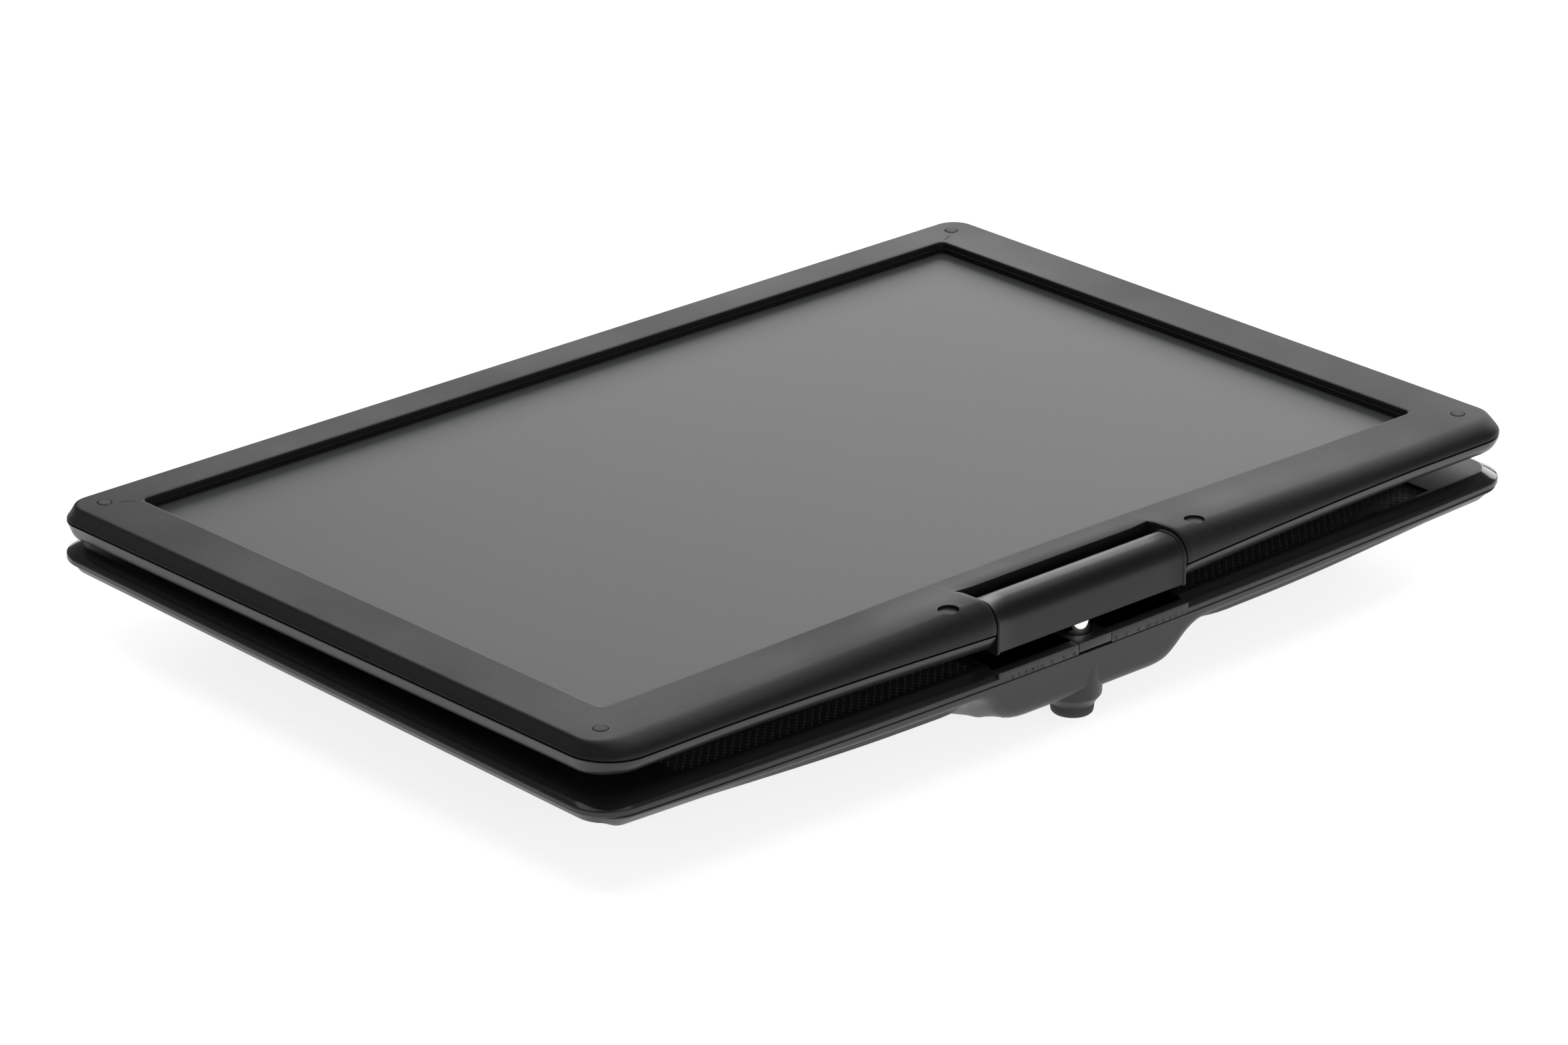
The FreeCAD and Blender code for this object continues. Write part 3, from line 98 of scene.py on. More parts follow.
# ---- base ----
BASE_HALF_X = 149.2
BASE_HALF_Y = 102.5
BASE_CORNER = 10.5
DISH_INSET = 26.0
DISH_CORNER = 14.0
BOW_RADIUS = 2630.0
SEAM_Z = 18.1
BOTTOM_Z = 4.3
DECK_Z = 21.7
WALL_FOOT_MIDDLE = 15.3
WALL_FOOT_ENDS = 17.2
WALL_FOOT_SIDES = 17.45
PLINTH_HALF_X = 31.0
PLINTH_BACK_Y = -87.0
PLINTH_TOP_Z = 21.0
INSERT_HALF_X = 5.4
KEY_GAP = 0.3                # round the lid and the round keys
PILL_GAP = 0.2               # round the long key and the infrared window
LIGHT_HOLE_R = 1.2
GRILLE_BED = (5.2, 13.8, 32.6, 122.4)    # two insets, two distances from the middle
GRILLE_BED_Z = 19.0
GRILLE_PITCH = 2.35
GRILLE_ROWS = 7
GRILLE_HOLES = 38
GRILLE_FIRST_X = 33.9
GRILLE_LAST_X = 121.6
GRILLE_FIRST_INSET = 5.9
GRILLE_HOLE_R = 0.5
GRILLE_HOLE_DEPTH = 0.35
CONNECTOR_X = (112.0, 147.6)
CONNECTOR_Y = (-48.0, 58.0)
CONNECTOR_LOW_Z = 7.0
CONNECTOR_ROUND = 3.0
SOCKET_X = (142.2, 149.0)
SOCKET_Z = 13.4
JACK_YS = (46.0, 32.0, 18.0)
JACK_R = 3.0
INLET_Y = 3.0
INLET_R = 3.9
WHEEL_SLOT_R = 9.2
WHEEL_SLOT_GAP = 0.4


# ------------------------------------------------------------ mesh helpers
def screen_matrix():
    to_axis = Matrix.Translation((0, SWIVEL_Y, TILT_Z))
    drop = Matrix.Rotation(-SCREEN_DROP, 4, "X")
    from_axis = Matrix.Translation((0, -TILT_LOCAL_Y, -TILT_LOCAL_Z))
    return to_axis @ drop @ from_axis


def link(thing):
    bpy.context.scene.collection.objects.link(thing)


IN_SCREEN = screen_matrix()
IN_ROW = Matrix.Identity(4)


def make(name, verts, faces, body, place=IN_ROW):
    """A mesh piece from millimetre points, riding a body."""
    mesh = bpy.data.meshes.new(name)
    mesh.from_pydata([tuple(place @ Vector(v) * MM) for v in verts], [], faces)
    piece = bpy.data.objects.new(name, mesh)
    link(piece)
    tidy(mesh)
    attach(piece, body)
    return piece


def tidy(mesh):
    bm = bmesh.new()
    bm.from_mesh(mesh)
    bmesh.ops.remove_doubles(bm, verts=bm.verts, dist=1e-6)
    loose = [v for v in bm.verts if not v.link_faces]
    bmesh.ops.delete(bm, geom=loose, context="VERTS")
    bmesh.ops.recalc_face_normals(bm, faces=bm.faces)
    bm.to_mesh(mesh)
    bm.free()


def soften(piece, angle=32):
    """Smooth shading everywhere but across edges sharper than the angle."""
    bm = bmesh.new()
    bm.from_mesh(piece.data)
    limit = math.radians(angle)
    for face in bm.faces:
        face.smooth = True
    for edge in bm.edges:
        edge.smooth = len(edge.link_faces) == 2 and edge.calc_face_angle() < limit
    bm.to_mesh(piece.data)
    bm.free()


def apply(piece):
    """Turn the piece's modifiers into mesh."""
    graph = bpy.context.evaluated_depsgraph_get()
    done = bpy.data.meshes.new_from_object(piece.evaluated_get(graph))
    old = piece.data
    piece.modifiers.clear()
    piece.data = done
    bpy.data.meshes.remove(old)


def round_edges(piece, width, chosen, segments=2):
    """Round the edges that the test picks; it gets the edge's middle in millimetres. The width is too."""
    bm = bmesh.new()
    bm.from_mesh(piece.data)
    sharp = [e for e in bm.edges if len(e.link_faces) == 2 and e.calc_face_angle() > math.radians(50)
             and chosen((e.verts[0].co + e.verts[1].co) / 2 / MM)]
    bmesh.ops.bevel(bm, geom=sharp, offset=width * MM, segments=segments, profile=0.5, affect="EDGES",
                    clamp_overlap=True)
    bm.to_mesh(piece.data)
    bm.free()
    soften(piece)


def bevel(piece, width, angle=40, segments=2):
    """Round the piece's sharp edges; the width is in millimetres."""
    rounding = piece.modifiers.new("round", "BEVEL")
    rounding.width = width * MM
    rounding.segments = segments
    rounding.limit_method = "ANGLE"
    rounding.angle_limit = math.radians(angle)
    rounding.harden_normals = False
    apply(piece)
    soften(piece)


def carve(piece, cutters, overlapping=False):
    """Cut closed forms out of a piece. Each cutter is (verts, faces) in metres, in the row frame."""
    verts = []
    faces = []
    for points, polygons in cutters:
        faces += [[i + len(verts) for i in polygon] for polygon in polygons]
        verts += points
    mesh = bpy.data.meshes.new("cutter")
    mesh.from_pydata(verts, [], faces)
    tidy(mesh)
    cutter = bpy.data.objects.new("cutter", mesh)
    link(cutter)
    cut = piece.modifiers.new("cut", "BOOLEAN")
    cut.operation = "DIFFERENCE"
    cut.solver = "EXACT"
    cut.use_self = overlapping
    cut.object = cutter
    apply(piece)
    bpy.data.objects.remove(cutter)
    bpy.data.meshes.remove(mesh)


def ring_faces(count, rings, first=0):
    """Faces from ring to ring of points, with the ends left open."""
    faces = []
    for j in range(first, first + rings - 1):
        for i in range(count):
            k = (i + 1) % count
            faces.append([j * count + i, j * count + k, (j + 1) * count + k, (j + 1) * count + i])
    return faces


def prism(outline, z0, z1, place=IN_ROW):
    """An upright form over an outline, in metres: a cutter or a plinth pad."""
    n = len(outline)
    points = [place @ Vector((x, y, z)) * MM for z in (z0, z1) for x, y in outline]
    faces = [list(range(n))[::-1], [i + n for i in range(n)]]
    return [tuple(p) for p in points], faces + ring_faces(n, 2)


def circle(cx, cy, r, count=32):
    return [(cx + r * math.cos(2 * math.pi * i / count), cy + r * math.sin(2 * math.pi * i / count))
            for i in range(count)]


def rect(x0, x1, y0, y1):
    return [(x0, y0), (x1, y0), (x1, y1), (x0, y1)]


def bar(x0, x1, cy, cz, r, count=32):
    """Cutter: a round bar along X."""
    ring = circle(cy, cz, r, count)
    points = [tuple(Vector((x, y, z)) * MM) for x in (x0, x1) for y, z in ring]
    faces = [list(range(count))[::-1], [i + count for i in range(count)]]
    return points, faces + ring_faces(count, 2)


def lathe(name, body, cx, cy, profile, count=48):
    """A turned piece from (radius, z) points, closed at both ends on its axis."""
    verts = [(x, y, z) for r, z in profile for x, y in circle(cx, cy, r, count)]
    faces = ring_faces(count, len(profile))
    faces.append(list(range(count))[::-1])
    faces.append([(len(profile) - 1) * count + i for i in range(count)])
    piece = make(name, verts, faces, body)
    soften(piece)
    return piece


def spread(a, b, step):
    """Values from a towards b, leaving b out, in even steps of about the given size."""
    count = max(1, round(abs(b - a) / step))
    return [a + (b - a) * i / count for i in range(count)]


def smoothstep(t):
    t = min(1.0, max(0.0, t))
    return t * t * (3 - 2 * t)


def mix(a, b, t):
    return a + (b - a) * t


# ------------------------------------------------------------ screen housing
class Column:
    """One place along the housing's outline, with the matching place on the window's edge."""

    def __init__(self, outer, normal, window, side, x=None):
        self.outer = Vector(outer)
        self.normal = Vector(normal)
        self.window = Vector(window)
        self.side = side                 # 0 on the hinge edge, 1 on the other edges
        self.swell = 0.0                 # 1 at the hinge notch, 0 where the barrels have faded out
        self.bow = 0.0
        self.in_notch = False
        self.solid = False
        if x is not None:
            reach = (SWELL_END_X - abs(x)) / (SWELL_END_X - NOTCH_HALF_X)
            self.swell = min(1.0, max(0.0, reach)) ** 1.5
            self.bow = math.cos(min(1.0, abs(x) / SWELL_END_X) * math.pi / 2) ** 2
            self.in_notch = abs(x) < NOTCH_HALF_X - 0.01
            self.solid = abs(x) < NOTCH_HALF_X + END_WALL + 0.01


def hinge_edge_stations():
    """Places along the hinge edge, close together by the notch."""
    half = HOUSE_HALF_X - HOUSE_CORNER_NEAR
    right = [0.0] + spread(5.0, NOTCH_HALF_X, 5.0)
    right += [NOTCH_HALF_X, NOTCH_HALF_X + END_WALL, NOTCH_HALF_X + END_WALL + 0.05]
    right += spread(NOTCH_HALF_X + END_WALL + 2, SWELL_END_X, 3.5) + spread(SWELL_END_X, half, 5.0) + [half]
    return [-x for x in reversed(right[1:])] + right


def housing_columns():
    columns = []
    half = HOUSE_HALF_X - HOUSE_CORNER_NEAR
    far_half = HOUSE_HALF_X - HOUSE_CORNER_FAR
    window_half = WINDOW_HALF_X - WINDOW_CORNER
    even = 110.0
    for x in hinge_edge_stations():
        wx = x
        if abs(x) > even:
            wx = math.copysign(mix(even, window_half, (abs(x) - even) / (half - even)), x)
        columns.append(Column((x, HOUSE_NEAR_Y), (0, -1), (wx, WINDOW_NEAR_Y), 0.0, x))
    near = HOUSE_NEAR_Y + HOUSE_CORNER_NEAR
    far = HOUSE_FAR_Y - HOUSE_CORNER_FAR
    w_near = WINDOW_NEAR_Y + WINDOW_CORNER
    w_far = WINDOW_FAR_Y - WINDOW_CORNER
    near_r = HOUSE_CORNER_NEAR
    far_r = HOUSE_CORNER_FAR
    columns += corner_columns((half, near), near_r, (window_half, w_near), -90, smoothstep)
    columns += edge_columns((HOUSE_HALF_X, near), (HOUSE_HALF_X, far), (1, 0),
                            (WINDOW_HALF_X, w_near), (WINDOW_HALF_X, w_far))
    columns += corner_columns((far_half, far), far_r, (window_half, w_far), 0, lambda t: 1.0)
    columns += edge_columns((far_half, HOUSE_FAR_Y), (-far_half, HOUSE_FAR_Y), (0, 1),
                            (window_half, WINDOW_FAR_Y), (-window_half, WINDOW_FAR_Y))
    columns += corner_columns((-far_half, far), far_r, (-window_half, w_far), 90, lambda t: 1.0)
    columns += edge_columns((-HOUSE_HALF_X, far), (-HOUSE_HALF_X, near), (-1, 0),
                            (-WINDOW_HALF_X, w_far), (-WINDOW_HALF_X, w_near))
    columns += corner_columns((-half, near), near_r, (-window_half, w_near), 180, lambda t: smoothstep(1 - t))
    return columns


def corner_columns(centre, radius, window_centre, start_deg, side, count=14):
    columns = []
    for i in range(1, count):
        t = i / count
        rad = math.radians(start_deg + 90 * t)
        normal = Vector((math.cos(rad), math.sin(rad)))
        columns.append(Column(Vector(centre) + normal * radius, normal,
                              Vector(window_centre) + normal * WINDOW_CORNER, side(t)))
    return columns


def edge_columns(start, end, normal, window_start, window_end, step=12.0):
    start = Vector(start)
    end = Vector(end)
    window_start = Vector(window_start)
    window_end = Vector(window_end)
    count = round((end - start).length / step)
    return [Column(start.lerp(end, i / count), normal, window_start.lerp(window_end, i / count), 1.0)
            for i in range(count + 1)]


ROLL = 12                    # points on a rounded edge


def arc(cy, cz, ry, rz, start_deg, end_deg):
    """Points of an ellipse in the Y-Z plane, as (inset from the hinge edge, z)."""
    steps = [math.radians(mix(start_deg, end_deg, i / (ROLL - 1))) for i in range(ROLL)]
    return [(cy + ry * math.cos(a) - HOUSE_NEAR_Y, cz + rz * math.sin(a)) for a in steps]


# bezel's rounded outer edge as (inset, z): sides, hinge edge away from the barrels, hinge edge at the barrels
SIDE_ROLL = [(3.1, 0.0), (2.6, -0.01), (2.25, -0.07), (2.0, -0.22), (1.8, -0.5), (1.55, -0.95), (1.25, -1.45),
             (0.95, -1.95), (0.6, -2.5), (0.28, -2.95), (0.08, -3.2), (0.05, -3.36)]
PLAIN_ROLL = arc(-95.3, -3.42, 6.7, 3.42, 90, 180)
BARREL_ROLL = arc(TILT_LOCAL_Y, TILT_LOCAL_Z, BARREL_R, BARREL_R, 96, 190)


def column_point(column, inset, z):
    """A point in from the outline: straight in near the edge, then towards the window, then past it."""
    depth = (column.outer - column.window).dot(column.normal)
    if inset <= EDGE_ZONE:
        p = column.outer - column.normal * inset
    elif inset <= depth:
        start = column.outer - column.normal * EDGE_ZONE
        p = start.lerp(column.window, (inset - EDGE_ZONE) / (depth - EDGE_ZONE))
    else:
        p = column.window * (1 - (inset - depth) / 100)
    return (p.x, p.y, z)


def window_point(column, out, z):
    p = column.window + column.normal * out
    return (p.x, p.y, z)


def blend_roll(column, side, plain, barrel_roll):
    points = []
    for s, p, b in zip(side, plain, barrel_roll):
        inset = mix(mix(p[0], b[0], column.swell), s[0], column.side)
        z = mix(mix(p[1], b[1], column.swell), s[1], column.side)
        points.append(column_point(column, inset, z))
    return points


def bezel_profile(column):
    """Closed section of the bezel: up the window's wall, over the top to the seam and back inside."""
    rise = column.bow
    flat = mix(0.0, 1.75, column.swell) if not column.in_notch else 1.35
    before_roll = mix(0.0, 2.2, column.swell)
    step = rise * 0.3
    wall = [(0.0, WINDOW_FOOT_Z), (0.0, -1.55 + step), (0.32, -1.45 + step), (0.36, -0.3 + rise),
            (0.46, -0.13 + rise), (0.62, -0.05 + rise), (0.95, rise), (1.3, rise)]
    points = [window_point(column, out, z) for out, z in wall]
    mid = (column.outer - column.normal * NOTCH_INSET + column.window + column.normal * 1.3) / 2
    points.append((mid.x, mid.y, (flat + rise) / 2))
    points.append(column_point(column, NOTCH_INSET, flat))
    top_edge = len(points) - 1
    points.append(column_point(column, mix(9.5, 11.0, column.side), before_roll))
    points += blend_roll(column, SIDE_ROLL, PLAIN_ROLL, BARREL_ROLL)
    seam_z = points[-1][2]
    under = seam_z if column.solid else -1.8 + 0.8 * rise
    points.append(column_point(column, 0.75, seam_z - 0.04))
    points.append(column_point(column, 1.7, seam_z - 0.05))
    points.append(column_point(column, 2.1, under))
    points.append(column_point(column, NOTCH_INSET, under))
    bottom_edge = len(points) - 1
    points.append(window_point(column, 1.6, under if not column.solid else WINDOW_FOOT_Z))
    points.append(window_point(column, 1.55, WINDOW_FOOT_Z))
    return points, top_edge, bottom_edge


# back cover below the seam as (inset, z)
SIDE_BELLY = [(0.05, -3.82), (0.0, -3.95), (0.2, -4.35), (0.45, -5.0), (0.7, -5.7), (0.95, -6.4), (1.2, -7.0),
              (1.5, -7.45), (1.9, -7.75), (2.4, -7.92), (3.1, -7.99), (4.5, -8.0)]
PLAIN_BELLY = arc(-97.4, -3.6, 4.6, 4.4, 184, 270)
BARREL_BELLY = arc(TILT_LOCAL_Y, TILT_LOCAL_Z, BARREL_R, BARREL_R + 0.2, 194.5, 272)


def cover_profile(column):
    """Open section of the back cover, from the middle of its underside out to the seam and back inside."""
    def belly(depth):
        return mix(COVER_FLOOR_Z, depth, column.swell)
    points = [
        column_point(column, 40.0, COVER_FLOOR_Z),
        column_point(column, 24.0, belly(-8.15)),
        column_point(column, 17.5, belly(-8.9)),
        column_point(column, NOTCH_INSET, belly(-9.7)),
    ]
    bottom_edge = len(points) - 1
    points.append(column_point(column, mix(8.0, 6.5, column.side), belly(-10.1)))
    points += blend_roll(column, SIDE_BELLY, PLAIN_BELLY, BARREL_BELLY)[::-1]
    seam_z = points[-1][2]
    inner = seam_z if column.solid else COVER_INSIDE_Z
    points.append(column_point(column, 0.75, seam_z + 0.25))
    points.append(column_point(column, 1.7, seam_z + 0.25))
    points.append(column_point(column, 2.2, inner))
    points.append(column_point(column, NOTCH_INSET, inner))
    top_edge = len(points) - 1
    points.append(column_point(column, 24.0, COVER_INSIDE_Z))
    points.append(column_point(column, 40.0, COVER_INSIDE_Z))
    return points, bottom_edge, top_edge


def housing_mesh(name, profile, closed, body):
    """Sweep a section round the housing, leaving the hinge notch out."""
    columns = housing_columns()
    verts = []
    for column in columns:
        points, first, last = profile(column)
        verts += points
        rows = len(points)
    faces = []
    total = len(columns)
    for i, column in enumerate(columns):
        k = (i + 1) % total
        after = columns[k]
        cut = column.in_notch or after.in_notch
        for j in range(rows if closed else rows - 1):
            if cut and first <= j < last:
                continue
            m = (j + 1) % rows
            faces.append([i * rows + j, k * rows + j, k * rows + m, i * rows + m])
        if cut:
            faces.append([i * rows + first, k * rows + first, k * rows + last, i * rows + last])
        if column.in_notch != after.in_notch:
            edge = i if after.in_notch else k
            faces.append([edge * rows + j for j in range(first, last + 1)])
    if not closed:
        faces.append([i * rows for i in range(total)])
        faces.append([i * rows + rows - 1 for i in range(total)])
    return make(name, verts, faces, body, IN_SCREEN)


def by_notch(middle_of_edge):
    return abs(middle_of_edge.x) < NOTCH_HALF_X + 0.5 and middle_of_edge.y < SWIVEL_Y + NOTCH_INSET


def build_bezel():
    piece = housing_mesh("bezel_shell", bezel_profile, True, "screen")
    holes = [prism(circle(s * HINGE_SCREW[0], HINGE_SCREW[1], SCREW_HOLE_R), *SCREW_HOLE_Z, IN_SCREEN)
             for s in (-1, 1)]
    holes += [prism(circle(sx * PAD_X, sy * PAD_Y, PAD_HOLE_R, 24), *PAD_HOLE_Z, IN_SCREEN)
              for sx in (-1, 1) for sy in (-1, 1)]
    carve(piece, holes)
    round_edges(piece, 0.3, by_notch)
    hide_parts("bezel")
    return piece


def build_back_cover():
    piece = housing_mesh("back_cover_shell", cover_profile, False, "screen")
    round_edges(piece, 0.3, by_notch)
    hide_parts("back_cover")
    return piece


def build_hinge_screw_caps():
    """Flat discs at the bottom of the two hinge screw holes."""
    count = 32
    rings = len(SCREW_CAP)
    verts = []
    for s in (-1, 1):
        for r, z in SCREW_CAP:
            verts += [(x, y, z) for x, y in circle(s * HINGE_SCREW[0], HINGE_SCREW[1], r, count)]
    faces = ring_faces(count, rings) + ring_faces(count, rings, rings)
    faces += [[base * count + i for i in range(count)] for base in (0, rings - 1, rings, 2 * rings - 1)]
    piece = make("hinge_screw_caps", verts, faces, "screen", IN_SCREEN)
    soften(piece)
    return piece


# ------------------------------------------------------------ hinge block
def build_hinge_block():
    """The moulded hinge block, with a thin raised bead round each end."""
    crown_y = BLOCK_HALF_Y - BLOCK_CROWN_R
    crown_z = BLOCK_HIGH_Z - BLOCK_CROWN_R
    foot_y = BLOCK_HALF_Y - BLOCK_FOOT_R
    foot_z = BLOCK_LOW_Z + BLOCK_FOOT_R
    corners = ((crown_y, crown_z, BLOCK_CROWN_R, 0, 12), (-crown_y, crown_z, BLOCK_CROWN_R, 90, 12),
               (-foot_y, foot_z, BLOCK_FOOT_R, 180, 6), (foot_y, foot_z, BLOCK_FOOT_R, 270, 6))
    stations = [(30.75, -0.42), (30.72, -0.2), (30.62, -0.06), (30.45, 0.0), (30.2, 0.0), (30.02, -0.06),
                (29.9, -0.18), (29.85, -0.32), (29.8, -0.34), (24.0, -0.34), (12.0, -0.34)]
    stations = stations + [(0.0, -0.34)] + [(-x, d) for x, d in reversed(stations)]
    verts = []
    for x, d in stations:
        section = []
        for cy, cz, r, a0, steps in corners:
            for i in range(steps + 1):
                a = math.radians(a0 + 90 * i / steps)
                section.append((cy + (r + d) * math.cos(a), cz + (r + d) * math.sin(a)))
        verts += [(x, SWIVEL_Y + y, TILT_Z + z) for y, z in section]
        count = len(section)
    faces = ring_faces(count, len(stations))
    faces.append(list(range(count)))
    faces.append([(len(stations) - 1) * count + i for i in range(count)])
    piece = make("hinge_block_shell", verts, faces, "swivel")
    near_x, far_x = BLOCK_BORE_X
    cutters = [bar(s * near_x, s * far_x, SWIVEL_Y, TILT_Z, BLOCK_BORE_R) for s in (-1, 1)]
    cutters.append(prism(circle(0, SWIVEL_Y, SHAFT_BORE_R), *SHAFT_BORE_Z))
    carve(piece, cutters)
    soften(piece, 28)
    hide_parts("hinge_block")
    return piece


# ------------------------------------------------------------ base
def base_columns():
    """(point, outward normal, point on the dish's edge, x or None) round the base's plan."""
    half = BASE_HALF_X - BASE_CORNER
    bow_y = BOW_RADIUS - BASE_HALF_Y
    corner_y = bow_y - math.sqrt((BOW_RADIUS - BASE_CORNER) ** 2 - half ** 2)
    lean = math.asin(half / (BOW_RADIUS - BASE_CORNER))
    bow_end = BOW_RADIUS * math.sin(lean)
    xs = [0, 4, 7, 10, 14, 17, 19, 20.5, *range(22, 35), 35.5, 37, 38.5, 40, 42, 44, 47, 50]
    xs += spread(56, bow_end, 7.0) + [bow_end]
    in_x = BASE_HALF_X - DISH_INSET - DISH_CORNER
    in_y = BASE_HALF_Y - DISH_INSET - DISH_CORNER
    edge_y = in_y + DISH_CORNER
    edge_x = in_x + DISH_CORNER
    straight = 60.0
    columns = []
    for x in [-v for v in reversed(xs[1:])] + xs:
        a = math.asin(x / BOW_RADIUS)
        dish_x = x
        if abs(x) > straight:
            dish_x = math.copysign(mix(straight, in_x, (abs(x) - straight) / (bow_end - straight)), x)
        columns.append((Vector((x, bow_y - BOW_RADIUS * math.cos(a))), Vector((math.sin(a), -math.cos(a))),
                        Vector((dish_x, -edge_y)), x))
    top = BASE_HALF_Y - BASE_CORNER
    lean = math.degrees(lean)
    columns += arc_columns((half, corner_y), (in_x, -in_y), -90 + lean, 0)
    columns += line_columns((BASE_HALF_X, corner_y), (BASE_HALF_X, top), (1, 0),
                            (edge_x, -in_y), (edge_x, in_y))
    columns += arc_columns((half, top), (in_x, in_y), 0, 90)
    columns += line_columns((half, BASE_HALF_Y), (-half, BASE_HALF_Y), (0, 1),
                            (in_x, edge_y), (-in_x, edge_y))
    columns += arc_columns((-half, top), (-in_x, in_y), 90, 180)
    columns += line_columns((-BASE_HALF_X, top), (-BASE_HALF_X, corner_y), (-1, 0),
                            (-edge_x, in_y), (-edge_x, -in_y))
    columns += arc_columns((-half, corner_y), (-in_x, -in_y), 180, 270 - lean)
    return columns


def arc_columns(centre, dish_centre, start_deg, end_deg, count=16):
    columns = []
    for i in range(1, count):
        a = math.radians(mix(start_deg, end_deg, i / count))
        normal = Vector((math.cos(a), math.sin(a)))
        place = Vector(centre) + normal * BASE_CORNER
        columns.append((place, normal, Vector(dish_centre) + normal * DISH_CORNER, None))
    return columns


def line_columns(start, end, normal, dish_start, dish_end, step=14.0):
    start = Vector(start)
    end = Vector(end)
    dish_start = Vector(dish_start)
    dish_end = Vector(dish_end)
    count = round((end - start).length / step)
    return [(start.lerp(end, i / count), Vector(normal), dish_start.lerp(dish_end, i / count), None)
            for i in range(count + 1)]


def base_point(point, normal, dish, inset):
    """A point in from the base's outline: straight in near the edge, then towards the flat of the dish."""
    near = 5.0
    if inset <= near:
        return point - normal * inset
    start = point - normal * near
    return start.lerp(dish, (inset - near) / (DISH_INSET - near))


# lowest height of the rear wall, against the distance from the middle of the hinge edge
HUMP = [(0, 6.4), (18, 6.4), (20.2, 6.6), (22.4, 7.2), (24.2, 8.3), (25.6, 9.6), (27, 11.1), (28.4, 12.7),
        (29.8, 14.0), (31.5, 15.2), (33.5, 16.1), (36.5, 16.6), (300, 16.6)]
HUMP_CUT_BACK = 9.0          # how much wider it is behind its two rounded outer corners


def hump_z(x, cut_back):
    """Lowest height of the rear wall at x; further in, the hump is wider by cut_back."""
    if x is None:
        return HUMP[-1][1]
    d = max(0.0, abs(x) - cut_back)
    for (x0, z0), (x1, z1) in zip(HUMP, HUMP[1:]):
        if d <= x1:
            return mix(z0, z1, (d - x0) / (x1 - x0))
    return HUMP[-1][1]


def hinge_side(normal):
    """1 along the hinge edge, 0 on the other sides."""
    return smoothstep((-normal.y - 0.68) / 0.32)


def wall_foot(point, normal):
    """Lower edge of the upright wall: lowest mid-way along the hinge edge, highest on the other sides."""
    along_hinge = mix(WALL_FOOT_MIDDLE, WALL_FOOT_ENDS, smoothstep((abs(point.x) - 60) / 85))
    return mix(WALL_FOOT_SIDES, along_hinge, hinge_side(normal))


def bottom_profile(x, point, normal):
    """(inset, z) from the seam down the wall, round its lower edge and in over the dished bottom."""
    plain_foot = wall_foot(point, normal)

    def hump_share(cut_back):
        return (HUMP[-1][1] - hump_z(x, cut_back)) / (HUMP[-1][1] - HUMP[0][1])

    def foot_of(share):
        return mix(plain_foot, HUMP[0][1], share)
    share = hump_share(0.0)
    low = foot_of(share)
    r = mix(min(2.1, (SEAM_Z - plain_foot) * 0.85), 3.6, share)
    tuck = mix(0.75, 0.02, hinge_side(normal))
    wall_inset = mix(tuck + 0.08, 0.45, share)
    points = [(tuck + 0.43, SEAM_Z), (tuck + 0.1, SEAM_Z - 0.02), (tuck, SEAM_Z - 0.2)]
    top = SEAM_Z - 0.25
    points += [(mix(tuck, wall_inset, t), mix(top, low + r, t)) for t in (0.0, 0.25, 0.5, 0.75, 1.0)]
    for i in range(1, 8):
        a = math.radians(90 * i / 7)
        here = hump_share(HUMP_CUT_BACK * 0.4 * i / 7)
        round_r = mix(r, 3.6, here - share)
        inset = wall_inset + round_r * (1 - math.cos(a))
        points.append((inset, foot_of(here) + round_r * (1 - math.sin(a))))
    near = hump_share(HUMP_CUT_BACK)
    points.append((mix(2.6, 8.0, near), mix(plain_foot - 1.7, foot_of(near) - 0.05, near)))
    deep = hump_share(HUMP_CUT_BACK * 1.3)
    plain_z = mix(15.3, 14.4, hinge_side(normal))
    points.append((mix(3.6, 14.0, deep), mix(plain_z, foot_of(deep) - 0.35, deep)))
    points.append((mix(12.0, 17.8, deep), mix(10.6, foot_of(deep) - 0.75, deep)))
    points += [(mix(19.0, 20.6, deep), mix(6.85, 5.3, deep)), (22.5, mix(5.25, 5.0, deep)), (24.3, 4.6),
               (26.5, 4.33), (30.0, BOTTOM_Z)]
    return points


def base_faces(total, rows, open_row):
    """Faces of closed sections swept round the base. One row is left open between two level sheets."""
    faces = []
    for i in range(total):
        k = (i + 1) % total
        for j in range(rows):
            if j != open_row:
                m = (j + 1) % rows
                faces.append([i * rows + j, k * rows + j, k * rows + m, i * rows + m])
    faces.append([i * rows + open_row for i in range(total)])
    faces.append([i * rows + open_row + 1 for i in range(total)])
    return faces


def build_bottom_case():
    columns = base_columns()
    verts = []
    for point, normal, dish, x in columns:
        outer = bottom_profile(x, point, normal)
        inner = [(26.5, BOTTOM_Z + 1.8), (5.0, 16.6), (1.9, 17.6), (1.9, SEAM_Z)]
        for inset, z in outer + inner:
            p = base_point(point, normal, dish, inset)
            verts.append((p.x, p.y, z))
        rows = len(outer) + len(inner)
        floor_row = len(outer) - 1
    piece = make("bottom_shell", verts, base_faces(len(columns), rows, floor_row), "base")
    screws = islands("case_screws")
    cutters = [prism(circle(x, y, 3.2), BOTTOM_Z - 1, BOTTOM_Z + 0.9) for x, y in screws]
    carve(piece, cutters)
    soften(piece, 30)
    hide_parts("bottom_case")
    return piece


TOP_SHELL = [(0.5, 18.22), (0.15, 18.23), (0.0, 18.4), (0.0, 19.45), (0.1, 19.66), (0.35, 19.86), (2.0, 20.7),
             (3.6, 21.5), (3.85, 21.61), (4.15, 21.68), (4.6, DECK_Z)]
TOP_INSIDE = [(12.0, 19.9), (5.0, 19.9), (2.6, 19.5), (2.2, 18.22)]


